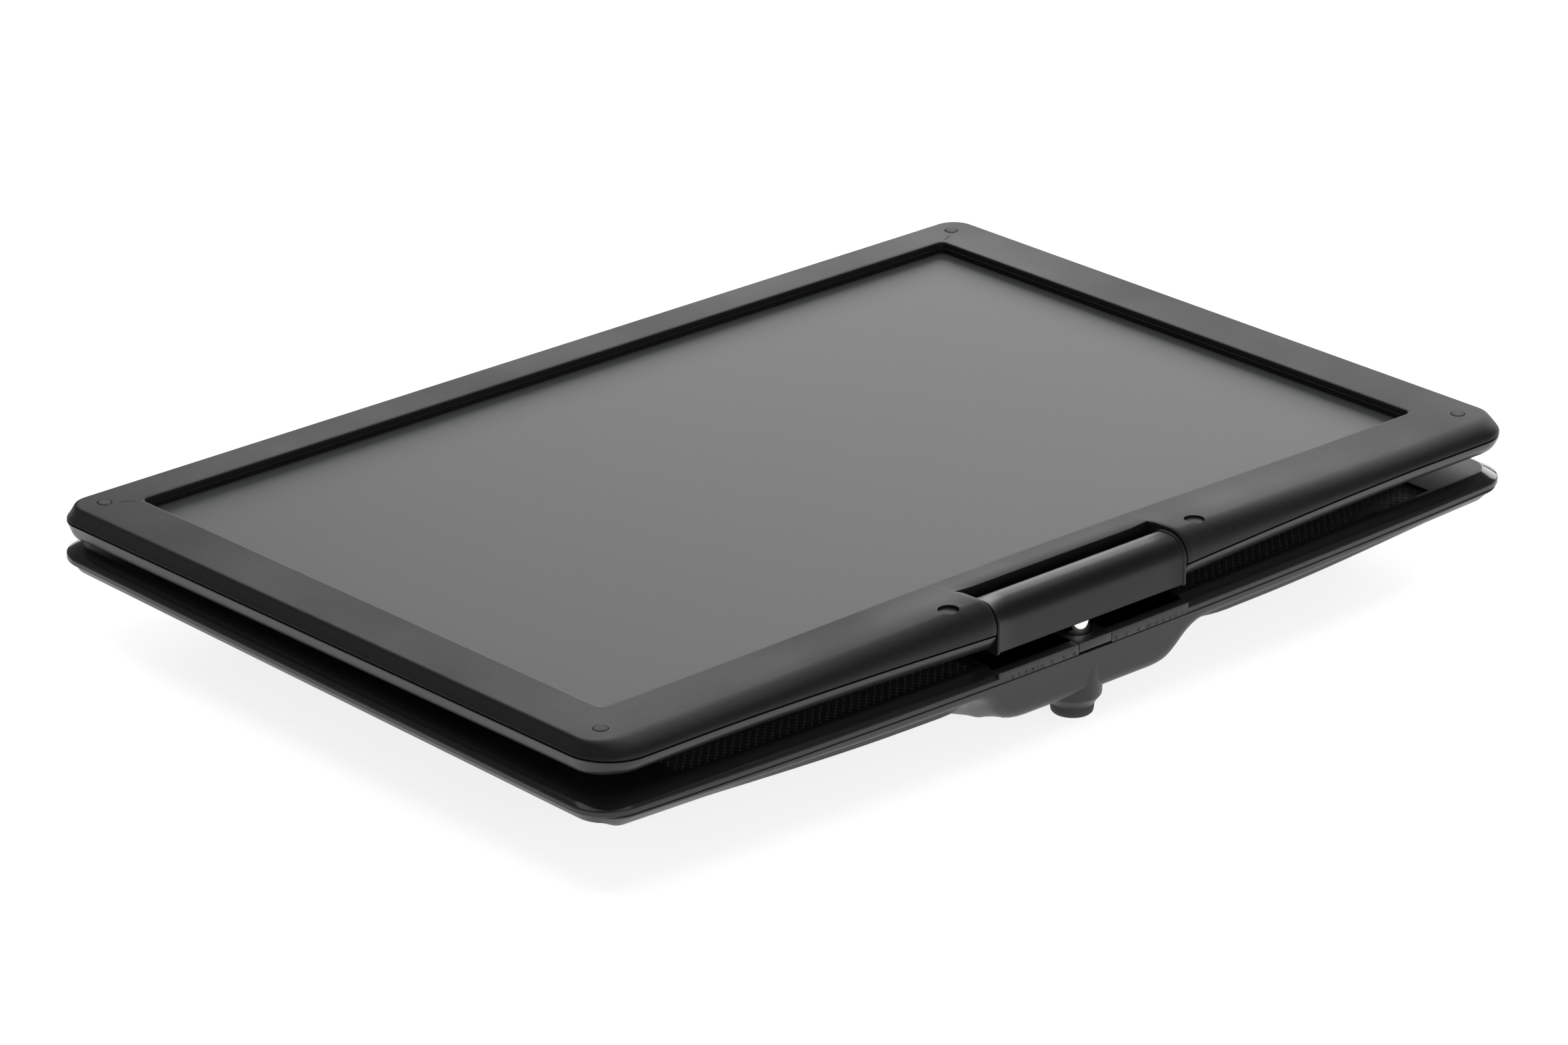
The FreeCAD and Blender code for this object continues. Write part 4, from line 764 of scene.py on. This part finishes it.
def build_top_cover():
    """Rim, glossy slope and deck, with the openings of the deck cut out of it."""
    columns = base_columns()
    verts = []
    for point, normal, dish, _ in columns:
        for inset, z in TOP_SHELL + [(12.0, DECK_Z)] + TOP_INSIDE:
            p = base_point(point, normal, dish, inset)
            verts.append((p.x, p.y, z))
    rows = len(TOP_SHELL) + 1 + len(TOP_INSIDE)
    piece = make("top_shell", verts, base_faces(len(columns), rows, len(TOP_SHELL)), "base")
    lid = middle("disc_lid")
    lid_r = (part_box("disc_lid")[1].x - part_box("disc_lid")[0].x) / 2 / MM
    low, high = DECK_Z - 4, DECK_Z + 1
    cutters = [prism(circle(lid.x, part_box("disc_lid")[1].y / MM - lid_r, lid_r + KEY_GAP, 128), low, high)]
    for pin in islands("lid_hinge_pins"):
        cutters.append(prism(rect(pin[0] - 4.3, pin[0] + 4.3, pin[1] - 3.3, pin[1] + 30), low, high))
    nav = middle("nav_ring")
    cutters.append(prism(circle(nav.x, nav.y, half_width("nav_ring") + KEY_GAP, 64), low, high))
    for node in ("menu_key", "stop_key", "play_key"):
        spot = middle(node)
        cutters.append(prism(circle(spot.x, spot.y, half_width(node) + KEY_GAP), low, high))
    for node, floor in (("open_key", low), ("ir_window", DECK_Z - 1.0)):
        spot = middle(node)
        tall = (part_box(node)[1].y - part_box(node)[0].y) / 2 / MM
        cutters.append(prism(pill(spot.x, spot.y, half_width(node) + PILL_GAP, tall + PILL_GAP), floor, high))
    cutters += [prism(circle(x, y, LIGHT_HOLE_R, 20), low, high) for x, y in islands("status_lights")]
    cutters.append(prism(rect(-PLINTH_HALF_X, PLINTH_HALF_X, -110, PLINTH_BACK_Y), PLINTH_TOP_Z, high))
    cutters.append(prism(rect(-INSERT_HALF_X, INSERT_HALF_X, -111, PLINTH_BACK_Y - 0.1), 17, high + 1))
    for side in (-1, 1):
        cutters.append(prism(grille_outline(side, *GRILLE_BED), GRILLE_BED_Z, high))
    carve(piece, cutters, True)
    soften(piece, 24)
    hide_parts("top_cover")
    return piece


def build_plinth():
    """Two level pads either side of the swivel insert, flush with the rim."""
    pieces = []
    for name, x0, x1 in (("plinth_left", -PLINTH_HALF_X, -INSERT_HALF_X),
                         ("plinth_right", INSERT_HALF_X, PLINTH_HALF_X)):
        count = 12
        outline = []
        for i in range(count + 1):
            x = mix(x0, x1, i / count)
            outline.append((x, BOW_RADIUS - BASE_HALF_Y - math.sqrt(BOW_RADIUS ** 2 - x * x)))
        outline += [(x1, PLINTH_BACK_Y), (x0, PLINTH_BACK_Y)]
        points, faces = prism(outline, SEAM_Z + 0.12, PLINTH_TOP_Z)
        piece = make(name, [tuple(Vector(p) / MM) for p in points], faces, "base")
        bevel(piece, 0.22, 50)
        pieces.append(piece)
    return pieces


def middle(node):
    low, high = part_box(node)
    return (low + high) / 2 / MM


def half_width(node):
    low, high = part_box(node)
    return (high.x - low.x) / 2 / MM


def pill(cx, cy, half_x, half_y, count=12):
    points = []
    for side, start in ((1, -90), (-1, 90)):
        for i in range(count + 1):
            a = math.radians(start + 180 * i / count)
            points.append((cx + side * (half_x - half_y) + half_y * math.cos(a), cy + half_y * math.sin(a)))
    return points


def grille_outline(side, inset0, inset1, x0, x1, count=40):
    """A strip that follows the hinge edge between two depths."""
    bow_y = BOW_RADIUS - BASE_HALF_Y

    def edge(inset, xs):
        return [(side * x, bow_y - math.sqrt((BOW_RADIUS - inset) ** 2 - x * x)) for x in xs]
    xs = [mix(x0, x1, i / count) for i in range(count + 1)]
    return edge(inset0, xs) + edge(inset1, xs[::-1])


def islands(node):
    """Middle of each separate solid of a CAD node, in plan, in millimetres."""
    bm = bmesh.new()
    bm.from_mesh(frame["nodes"][node].data)
    bmesh.ops.remove_doubles(bm, verts=bm.verts, dist=1e-6)
    bm.verts.ensure_lookup_table()
    seen = set()
    centres = []
    for vert in bm.verts:
        if vert.index in seen:
            continue
        stack = [vert]
        seen.add(vert.index)
        members = []
        while stack:
            v = stack.pop()
            members.append(v.co / MM)
            for edge in v.link_edges:
                other = edge.other_vert(v)
                if other.index not in seen:
                    seen.add(other.index)
                    stack.append(other)
        lows = [min(c[i] for c in members) for i in (0, 1)]
        highs = [max(c[i] for c in members) for i in (0, 1)]
        centres.append(((lows[0] + highs[0]) / 2, (lows[1] + highs[1]) / 2))
    bm.free()
    return centres


def build_swivel_post():
    """The round post under the hinge, with its stepped end."""
    profile = [(7.0, 17.6), (7.0, 5.4), (6.9, 5.0), (6.6, 4.6), (5.6, 3.2), (5.35, 2.9), (5.3, 2.45)]
    return lathe("swivel_post", "base", 0, SWIVEL_Y, profile[::-1])


def build_post_foot():
    profile = [(4.2, 0.0), (4.7, 0.1), (5.0, 0.4), (5.12, 0.9), (5.28, 2.2), (5.2, 2.42)]
    piece = lathe("post_cap", "base", 0, SWIVEL_Y, profile)
    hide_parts("post_foot")
    return piece


def build_feet():
    pieces = []
    for index, (x, y) in enumerate(islands("rubber_feet")):
        profile = [(5.6, 0.0), (6.2, 0.12), (6.55, 0.5), (6.65, 1.0), (6.95, 4.1), (6.9, 4.35)]
        pieces.append(lathe("foot_%d" % (index + 1), "base", x, y, profile))
    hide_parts("rubber_feet")
    return pieces


def rounded_box(x, y, z, r, steps=4):
    """Outline and heights of the connector housing: round corners in plan and along the lower edge."""
    verts = []
    heights = [(z[0], r)] + [(z[0] + r * (1 - math.cos(math.radians(a))), r * (1 - math.sin(math.radians(a))))
                             for a in (25, 50, 75, 90)] + [(z[1], 0.0)]
    for level, inset in heights:
        for cx, cy, a0 in ((x[1] - r, y[0] + r, -90), (x[1] - r, y[1] - r, 0), (x[0] + r, y[1] - r, 90),
                           (x[0] + r, y[0] + r, 180)):
            for i in range(steps + 1):
                a = math.radians(a0 + 90 * i / steps)
                verts.append((cx + (r - inset) * math.cos(a), cy + (r - inset) * math.sin(a), level))
    count = 4 * (steps + 1)
    faces = ring_faces(count, len(heights))
    faces.append(list(range(count)))
    faces.append([(len(heights) - 1) * count + i for i in range(count)])
    return verts, faces


def build_connector_housing():
    heights = (CONNECTOR_LOW_Z, SEAM_Z - 0.1)
    verts, faces = rounded_box(CONNECTOR_X, CONNECTOR_Y, heights, CONNECTOR_ROUND)
    piece = make("connector_housing", verts, faces, "base")
    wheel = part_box("volume_wheel")
    centre = ((wheel[0] + wheel[1]) / 2) / MM
    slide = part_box("power_slide")
    cutters = [bar(*SOCKET_X, y, SOCKET_Z, JACK_R) for y in JACK_YS]
    cutters.append(bar(*SOCKET_X, INLET_Y, SOCKET_Z, INLET_R))
    cutters.append(prism(circle(centre.x, centre.y, WHEEL_SLOT_R),
                         wheel[0].z / MM - WHEEL_SLOT_GAP, wheel[1].z / MM + WHEEL_SLOT_GAP))
    slot_low = slide[0].y / MM + 1.6
    cutters.append(prism(rect(144.0, 149.0, slot_low, slot_low + 8.0), 11.8, 15.0))
    cutters.append(prism(rect(141.8, 145.4, slot_low - 2.5, slot_low + 10.5), 10.0, 16.8))
    carve(piece, cutters)
    bevel(piece, 0.2, 50)
    return piece


# ------------------------------------------------------------ refined CAD nodes
def refine(node, width, body, name=None, angle=30):
    """A copy of a CAD node with its flat faces merged and its edges rounded."""
    mesh = frame["nodes"][node].data.copy()
    bm = bmesh.new()
    bm.from_mesh(mesh)
    bmesh.ops.remove_doubles(bm, verts=bm.verts, dist=2e-6)
    bmesh.ops.dissolve_limit(bm, angle_limit=math.radians(0.6), verts=bm.verts, edges=bm.edges)
    bmesh.ops.recalc_face_normals(bm, faces=bm.faces)
    bm.to_mesh(mesh)
    bm.free()
    piece = bpy.data.objects.new(name or node + "_fine", mesh)
    link(piece)
    piece.data.materials.clear()
    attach(piece, body)
    if width:
        bevel(piece, width, angle, 2)
    soften(piece, angle)
    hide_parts(node)
    return piece


def body_of(node):
    for body, members in frame["record"]["behaviour"]["bodies"].items():
        if node in members:
            return body
    raise ValueError(node)


# ------------------------------------------------------------ grilles
def build_grille(side):
    """Perforated strip: rows of small holes, every other row set half a pitch along."""
    node = "speaker_grille_" + ("left" if side < 0 else "right")
    piece = refine(node, 0, "base", node + "_perforated")
    top_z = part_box(node)[1].z / MM
    bow_y = BOW_RADIUS - BASE_HALF_Y
    cutters = []
    for row in range(GRILLE_ROWS):
        inset = GRILLE_FIRST_INSET + row * GRILLE_PITCH / 2
        offset = (row % 2) * GRILLE_PITCH / 2
        for i in range(GRILLE_HOLES):
            x = side * (GRILLE_FIRST_X + offset + i * GRILLE_PITCH)
            if abs(x) > GRILLE_LAST_X:
                continue
            y = bow_y - math.sqrt((BOW_RADIUS - inset) ** 2 - x * x)
            cutters.append(prism(circle(x, y, GRILLE_HOLE_R, 8), top_z - GRILLE_HOLE_DEPTH, top_z + 0.5))
    carve(piece, cutters)
    soften(piece, 30)
    return piece


# ------------------------------------------------------------ materials
class Surface:
    """A node material built around one principled shader."""

    def __init__(self, name, **constants):
        self.material = bpy.data.materials.new(name)
        self.material.use_nodes = True
        self.nodes = self.material.node_tree.nodes
        self.links = self.material.node_tree.links
        self.shader = self.nodes["Principled BSDF"]
        for socket, value in constants.items():
            self.shader.inputs[socket.replace("_", " ")].default_value = value
        self.where = self.nodes.new("ShaderNodeTexCoord").outputs["Object"]

    def add(self, kind, **values):
        """A new node of this kind, with these values on its sockets."""
        node = self.nodes.new("ShaderNode" + kind)
        for socket, value in values.items():
            node.inputs[socket.replace("_", " ")].default_value = value
        return node

    def noise(self, scale, detail=3.0, roughness=0.5, stretch=None):
        node = self.add("TexNoise", Scale=scale, Detail=detail, Roughness=roughness)
        source = self.where
        if stretch:
            mapping = self.add("Mapping", Scale=stretch)
            self.links.new(self.where, mapping.inputs["Vector"])
            source = mapping.outputs["Vector"]
        self.links.new(source, node.inputs["Vector"])
        return node.outputs["Fac"]

    def voronoi(self, scale):
        node = self.add("TexVoronoi", Scale=scale)
        self.links.new(self.where, node.inputs["Vector"])
        return node.outputs["Distance"]

    def ramp(self, fac, stops):
        """Colour against the value, from two (position, colour) stops."""
        node = self.add("ValToRGB")
        for element, (position, colour) in zip(node.color_ramp.elements, stops):
            element.position = position
            element.color = (*colour, 1.0)
        self.links.new(fac, node.inputs["Fac"])
        return node.outputs["Color"]

    def span(self, fac, low, high, from_low=0.3, from_high=0.7):
        node = self.add("MapRange", From_Min=from_low, From_Max=from_high, To_Min=low, To_Max=high)
        self.links.new(fac, node.inputs["Value"])
        return node.outputs["Result"]

    def join(self, a, b, fac=None, share=0.5, kind="MIX"):
        node = self.add("Mix")
        node.data_type = "RGBA"
        node.blend_type = kind
        if fac is None:
            node.inputs[0].default_value = share
        else:
            self.links.new(fac, node.inputs[0])
        for socket, value in ((node.inputs[6], a), (node.inputs[7], b)):
            if isinstance(value, tuple):
                socket.default_value = (*value, 1.0)
            else:
                self.links.new(value, socket)
        return node.outputs[2]

    def blend(self, a, b, fac):
        """Between two numbers."""
        node = self.add("Mix")
        self.links.new(fac, node.inputs[0])
        self.links.new(a, node.inputs[2])
        self.links.new(b, node.inputs[3])
        return node.outputs[0]

    def edge_mask(self, radius):
        """1 along rounded edges, 0 on open faces."""
        soft = self.add("Bevel", Radius=radius)
        soft.samples = 4
        plain = self.add("NewGeometry")
        dot = self.add("VectorMath")
        dot.operation = "DOT_PRODUCT"
        self.links.new(soft.outputs["Normal"], dot.inputs[0])
        self.links.new(plain.outputs["Normal"], dot.inputs[1])
        return self.span(dot.outputs["Value"], 1.0, 0.0, 0.86, 0.995)

    def height(self):
        """Z of the point, in metres."""
        split = self.add("SeparateXYZ")
        self.links.new(self.where, split.inputs["Vector"])
        return split.outputs["Z"]

    def colour(self, socket):
        self.links.new(socket, self.shader.inputs["Base Color"])

    def rough(self, socket):
        self.links.new(socket, self.shader.inputs["Roughness"])

    def bump(self, *layers):
        """Stack of (height, distance in metres, strength)."""
        normal = None
        for height, distance, strength in layers:
            node = self.add("Bump", Distance=distance, Strength=strength)
            self.links.new(height, node.inputs["Height"])
            if normal is not None:
                self.links.new(normal, node.inputs["Normal"])
            normal = node.outputs["Normal"]
        self.links.new(normal, self.shader.inputs["Normal"])


def shade(colour, factor):
    return tuple(min(1.0, c * factor) for c in colour)


def moulded_plastic(name, colour, rough, grain=2600.0, depth=0.00002, strength=0.35, wear=1.6, specular=0.5,
                    variation=0.12):
    """Moulded plastic with a spark-eroded grain, faint handling marks and lighter rubbed edges."""
    s = Surface(name, Specular_IOR_Level=specular)
    broad = s.noise(22.0, 4.0)
    fine = s.noise(grain, 2.0, 0.6)
    specks = s.noise(grain * 0.45, 1.0)
    tone = s.ramp(broad, [(0.3, shade(colour, 1 - variation)), (0.7, shade(colour, 1 + variation))])
    tone = s.join(tone, s.ramp(specks, [(0.35, shade(colour, 0.8)), (0.65, shade(colour, 1.25))]), share=0.35)
    worn = s.edge_mask(0.0006)
    worn_break = s.noise(320.0, 3.0)
    mask = s.add("Math")
    mask.operation = "MULTIPLY"
    s.links.new(worn, mask.inputs[0])
    s.links.new(s.span(worn_break, 0.0, 0.75, 0.35, 0.7), mask.inputs[1])
    tone = s.join(tone, shade(colour, wear), fac=mask.outputs[0])
    s.colour(tone)
    s.rough(s.span(broad, rough - 0.05, rough + 0.05))
    s.bump((fine, depth, strength), (s.noise(grain * 0.2, 2.0), depth * 1.5, strength * 0.5))
    return s.material


def gloss_plastic(name, colour, rough=0.12, coat=0.3):
    """Polished plastic with very fine orange peel, dust and hairline rub marks."""
    s = Surface(name, Coat_Weight=coat, Coat_Roughness=0.06, Specular_IOR_Level=0.5)
    dust = s.noise(900.0, 4.0, 0.7)
    peel = s.noise(160.0, 2.0)
    rubs = s.noise(60.0, 5.0, 0.6, (1.0, 14.0, 1.0))
    s.colour(s.ramp(dust, [(0.55, colour), (0.78, shade(colour, 1.9))]))
    s.rough(s.span(rubs, rough, rough + 0.12, 0.4, 0.75))
    s.bump((peel, 0.00006, 0.12), (dust, 0.000008, 0.15))
    return s.material


RIM_EDGE_Z = (0.01972, 0.01982)      # metres: where the satin rim gives way to the slope
DECK_EDGE_Z = (0.02160, 0.02166)     # metres: where the slope gives way to the deck


def deck_shell(name, colour, rim_colour):
    """Satin rim band, polished slope and satin deck; the changes lie along the slope's two edges."""
    s = Surface(name, Specular_IOR_Level=0.42)
    height = s.height()
    above_rim = s.span(height, 0.0, 1.0, *RIM_EDGE_Z)
    on_deck = s.span(height, 0.0, 1.0, *DECK_EDGE_Z)
    dust = s.noise(900.0, 4.0, 0.7)
    rubs = s.noise(60.0, 5.0, 0.6, (1.0, 14.0, 1.0))
    fine = s.noise(2600.0, 2.0, 0.6)
    polished = s.ramp(dust, [(0.64, colour), (0.85, shade(colour, 1.4))])
    satin = s.ramp(fine, [(0.35, shade(rim_colour, 0.85)), (0.65, shade(rim_colour, 1.2))])
    s.colour(s.join(satin, polished, fac=above_rim))
    upper = s.blend(s.span(rubs, 0.10, 0.18, 0.4, 0.75), s.span(fine, 0.48, 0.54), on_deck)
    s.rough(s.blend(s.span(fine, 0.31, 0.37), upper, above_rim))
    s.bump((fine, 0.000004, 0.12), (dust, 0.000002, 0.1))
    return s.material


def rubber(name, colour, rough=0.72):
    s = Surface(name, Specular_IOR_Level=0.35)
    fine = s.noise(3200.0, 3.0, 0.65)
    broad = s.noise(90.0, 4.0)
    s.colour(s.ramp(broad, [(0.3, shade(colour, 0.8)), (0.72, shade(colour, 1.35))]))
    s.rough(s.span(fine, rough - 0.06, rough + 0.08))
    s.bump((fine, 0.00003, 0.4))
    return s.material


def steel(name, colour, rough=0.3, stretch=(1.0, 40.0, 40.0)):
    """Drawn or turned metal with fine lines and faint tarnish."""
    s = Surface(name, Metallic=1.0)
    lines = s.noise(120.0, 5.0, 0.6, stretch)
    tarnish = s.noise(70.0, 4.0)
    s.colour(s.join(s.ramp(lines, [(0.3, shade(colour, 0.82)), (0.7, colour)]),
                    s.ramp(tarnish, [(0.4, shade(colour, 0.7)), (0.7, colour)]), share=0.4))
    s.rough(s.span(tarnish, rough - 0.06, rough + 0.1))
    s.bump((lines, 0.000012, 0.3))
    return s.material


def chrome(name):
    s = Surface(name, Metallic=1.0)
    smear = s.noise(55.0, 4.0)
    turned = s.noise(40.0, 3.0, 0.5, (1.0, 1.0, 60.0))
    s.colour(s.ramp(smear, [(0.3, (0.80, 0.79, 0.77)), (0.7, (0.93, 0.92, 0.90))]))
    s.rough(s.span(smear, 0.06, 0.16))
    s.bump((turned, 0.000006, 0.2))
    return s.material


def display_surface(name):
    """Anti-glare face of the panel: switched off, slightly green grey with a fine sparkle."""
    s = Surface(name, Specular_IOR_Level=0.45)
    sparkle = s.noise(5200.0, 2.0, 0.7)
    cloud = s.noise(9.0, 3.0)
    tone = s.ramp(cloud, [(0.3, (0.049, 0.0525, 0.0515)), (0.7, (0.055, 0.0595, 0.058))])
    glint = s.ramp(sparkle, [(0.35, (0.041, 0.044, 0.0432)), (0.65, (0.061, 0.0655, 0.0645))])
    s.colour(s.join(tone, glint, share=0.3))
    s.rough(s.span(sparkle, 0.42, 0.52))
    s.bump((sparkle, 0.000006, 0.3))
    return s.material


def tinted_window(name, colour, rough=0.1):
    s = Surface(name, Coat_Weight=0.4, Coat_Roughness=0.05)
    smear = s.noise(140.0, 4.0)
    s.colour(s.ramp(smear, [(0.3, colour), (0.75, shade(colour, 1.7))]))
    s.rough(s.span(smear, rough, rough + 0.1))
    s.bump((s.noise(400.0, 2.0), 0.00001, 0.1))
    return s.material


def circuit(name):
    """Green solder mask with copper runs under it."""
    s = Surface(name)
    runs = s.voronoi(260.0)
    broad = s.noise(30.0, 3.0)
    tracks = s.ramp(runs, [(0.0, (0.02, 0.13, 0.045)), (0.3, (0.028, 0.19, 0.07))])
    mask = s.ramp(broad, [(0.3, (0.012, 0.09, 0.035)), (0.7, (0.03, 0.2, 0.08))])
    s.colour(s.join(tracks, mask, share=0.4))
    s.rough(s.span(broad, 0.28, 0.42))
    s.bump((runs, 0.00004, 0.3))
    return s.material


COLOURS = {
    "bezel": (0.015, 0.0146, 0.0144),
    "cover": (0.014, 0.0137, 0.0150),
    "case": (0.020, 0.0197, 0.021),
    "plinth": (0.024, 0.0235, 0.0235),
    "block": (0.009, 0.0089, 0.0094),
    "deck": (0.018, 0.0176, 0.018),
}


def perforated(name, paint, highlight_colour):
    """Painted grille; the floors of its holes are painted pale as a painted highlight that stands in for the
    glints on the hole rims.
    """
    s = Surface(name, Specular_IOR_Level=0.4)
    floor_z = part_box("speaker_grille_left")[1].z - GRILLE_HOLE_DEPTH * MM
    open_face = s.span(s.height(), 0.0, 1.0, floor_z + 0.00003, floor_z + 0.00006)
    fine = s.noise(2200.0, 2.0, 0.6)
    # painted highlight: a pale, finely speckled colour on the hole floors stands in for the glints on the hole
    # rims
    highlight_speckle = s.noise(5200.0, 2.0, 0.6)
    painted = s.ramp(fine, [(0.35, shade(paint, 0.8)), (0.65, shade(paint, 1.2))])
    painted_highlight = s.ramp(highlight_speckle, [(0.35, shade(highlight_colour, 0.75)), (0.65, highlight_colour)])
    s.colour(s.join(painted_highlight, painted, fac=open_face))
    s.rough(s.span(fine, 0.42, 0.52))
    s.bump((fine, 0.00001, 0.25))
    return s.material


def slot_materials():
    return {
        "bezel_plastic": moulded_plastic("bezel grain", COLOURS["bezel"], 0.50, depth=0.00003, strength=0.8,
                                         specular=0.24),
        "cover_plastic": moulded_plastic("cover satin", COLOURS["cover"], 0.33, 3000.0, 0.000012, 0.3),
        "case_plastic": moulded_plastic("case grain", COLOURS["case"], 0.40, 2400.0, strength=0.5,
                                        specular=0.45),
        "plinth_plastic": moulded_plastic("plinth grain", COLOURS["plinth"], 0.45),
        "block_plastic": moulded_plastic("block satin", COLOURS["block"], 0.38, 3400.0, 0.000008, 0.25, 1.5,
                                         0.30),
        "deck_plastic": deck_shell("deck gloss", COLOURS["deck"], (0.022, 0.0216, 0.0225)),
        "lid_plastic": gloss_plastic("lid gloss", (0.016, 0.016, 0.017), 0.14),
        "well_plastic": moulded_plastic("well grain", (0.030, 0.030, 0.031), 0.5),
        "chassis_plastic": moulded_plastic("chassis grain", (0.045, 0.045, 0.046), 0.55),
        "key_plastic": moulded_plastic("key satin", (0.16, 0.16, 0.165), 0.34, 3000.0, 0.00001, 0.25, 1.4),
        "jack_plastic": moulded_plastic("jack black", (0.02, 0.02, 0.02), 0.4),
        "av_plastic": moulded_plastic("jack yellow", (0.50, 0.34, 0.02), 0.4),
        "ir_plastic": tinted_window("infrared window", (0.012, 0.003, 0.004)),
        "bush_plastic": moulded_plastic("bearing plastic", (0.62, 0.60, 0.54), 0.4),
        "turntable_plastic": moulded_plastic("turntable black", (0.03, 0.03, 0.03), 0.45),
        "speaker_body": moulded_plastic("speaker black", (0.018, 0.018, 0.018), 0.6),
        "battery_wrap": tinted_window("battery wrap", (0.02, 0.06, 0.14), 0.3),
        "circuit_board": circuit("circuit board"),
        "backlight_frame": moulded_plastic("backlight frame", (0.6, 0.6, 0.6), 0.5),
        "lcd_surface": display_surface("panel face"),
        "lens_glass": tinted_window("lens coating", (0.05, 0.08, 0.22), 0.05),
        "light_pipe": tinted_window("light pipe", (0.35, 0.40, 0.36), 0.25),
        "foot_rubber": rubber("foot rubber", (0.045, 0.044, 0.047)),
        "pad_rubber": rubber("pad rubber", (0.12, 0.119, 0.119)),
        "shaft_chrome": chrome("shaft chrome"),
        "steel": steel("drawn steel", (0.62, 0.61, 0.60)),
        "screw_steel": steel("dark zinc", (0.30, 0.30, 0.31), 0.35, (30.0, 1.0, 1.0)),
        "contact_metal": steel("contact plate", (0.78, 0.66, 0.36), 0.2),
        "motor_can": steel("motor can", (0.55, 0.55, 0.56), 0.3, (1.0, 1.0, 30.0)),
        "sled_metal": steel("cast sled", (0.50, 0.50, 0.52), 0.45, (1.0, 1.0, 1.0)),
        # the pale third colour is the painted highlight on the grille's hole floors
        "grille_metal": perforated("grille paint and painted hole highlight", (0.052, 0.0515, 0.052), (0.80, 0.79, 0.78)),
    }


MATERIALS = slot_materials()
SLOT_OF = {part["node"]: part["material_slot"] for part in frame["record"]["subparts"]}


def dress(piece, slot):
    """Give a piece the material of the slot that it stands for."""
    piece.data.materials.clear()
    piece.data.materials.append(MATERIALS[slot])


# ------------------------------------------------------------ build
dress(build_bezel(), "bezel_plastic")
dress(build_back_cover(), "cover_plastic")
dress(build_hinge_screw_caps(), "bezel_plastic")
dress(build_hinge_block(), "block_plastic")
dress(build_bottom_case(), "case_plastic")
dress(build_top_cover(), "deck_plastic")
for pad in build_plinth():
    dress(pad, "plinth_plastic")
dress(build_connector_housing(), "case_plastic")
dress(build_swivel_post(), "case_plastic")
dress(build_post_foot(), "foot_rubber")
for foot in build_feet():
    dress(foot, "foot_rubber")
for side in (-1, 1):
    dress(build_grille(side), "grille_metal")

ROUNDED = {
    "swivel_insert": 0.12, "disc_lid": 0.2, "disc_well": 0.2, "turntable": 0.2,
    "power_slide": 0.25, "drive_chassis": 0.2, "laser_sled": 0.2, "battery_pack": 0.0, "av_jack": 0.12,
    "dc_inlet": 0.12, "headphone_jacks": 0.12, "lcd_glass": 0.0,
}
for node, width in ROUNDED.items():
    dress(refine(node, width, body_of(node)), SLOT_OF[node])

for node, piece in frame["nodes"].items():
    piece.data.materials.clear()
    piece.data.materials.append(MATERIALS[SLOT_OF[node]])


# ------------------------------------------------------------ stage, light and camera
def build_stage():
    mesh = bpy.data.meshes.new("floor")
    reach = 6.0
    mesh.from_pydata([(-reach, -reach, 0), (reach, -reach, 0), (reach, reach, 0), (-reach, reach, 0)], [],
                     [(0, 1, 2, 3)])
    floor = bpy.data.objects.new("floor", mesh)
    link(floor)
    s = Surface("pale floor", Roughness=0.9, Emission_Strength=0.8, Emission_Color=(1.0, 1.0, 1.0, 1.0))
    s.colour(s.ramp(s.noise(3.0), [(0.3, (0.86, 0.86, 0.86)), (0.7, (0.88, 0.88, 0.88))]))
    floor.data.materials.append(s.material)


def area_light(name, place, target, size, power):
    data = bpy.data.lights.new(name, "AREA")
    data.shape = "RECTANGLE"
    data.size = size[0]
    data.size_y = size[1]
    data.energy = power
    lamp = bpy.data.objects.new(name, data)
    lamp.location = place
    aim = Vector(target) - Vector(place)
    lamp.rotation_euler = aim.to_track_quat("-Z", "Y").to_euler()
    link(lamp)


def build_light():
    world = bpy.data.worlds.new("studio")
    world.use_nodes = True
    world.node_tree.nodes["Background"].inputs["Color"].default_value = (1.0, 1.0, 1.0, 1.0)
    world.node_tree.nodes["Background"].inputs["Strength"].default_value = 0.17
    bpy.context.scene.world = world
    bpy.context.scene.view_settings.view_transform = "Standard"
    area_light("overhead", (0.4, 0.6, 2.0), (0, 0.1, 0), (2.4, 2.0), 17.0)
    area_light("front", (-0.2, -1.7, 0.5), (0, 0, 0.03), (2.0, 0.5), 3.2)
    area_light("back", (1.1, 0.75, 0.42), (0, 0, 0.03), (1.4, 0.55), 8.5)


CAMERA_AZIMUTH = -42.60
CAMERA_ELEVATION = 23.09
CAMERA_ROLL = 0.53
CAMERA_PLACE = (-1.0525, -1.1396, 0.6786)
LENS_MM = 159.5


def build_camera():
    az = math.radians(CAMERA_AZIMUTH)
    el = math.radians(CAMERA_ELEVATION)
    back = Vector((math.sin(az) * math.cos(el), -math.cos(az) * math.cos(el), math.sin(el)))
    level = Vector((0, 0, 1)).cross(back).normalized()
    upright = back.cross(level)
    roll = math.radians(CAMERA_ROLL)
    right = level * math.cos(roll) + upright * math.sin(roll)
    up = back.cross(right)
    data = bpy.data.cameras.new("camera")
    data.lens = LENS_MM
    data.sensor_width = 36.0
    data.clip_start = 0.05
    data.clip_end = 30.0
    camera = bpy.data.objects.new("camera", data)
    turn = Matrix((right, up, back)).transposed().to_4x4()
    camera.matrix_world = Matrix.Translation(CAMERA_PLACE) @ turn
    link(camera)
    bpy.context.scene.camera = camera


build_stage()
build_light()
build_camera()
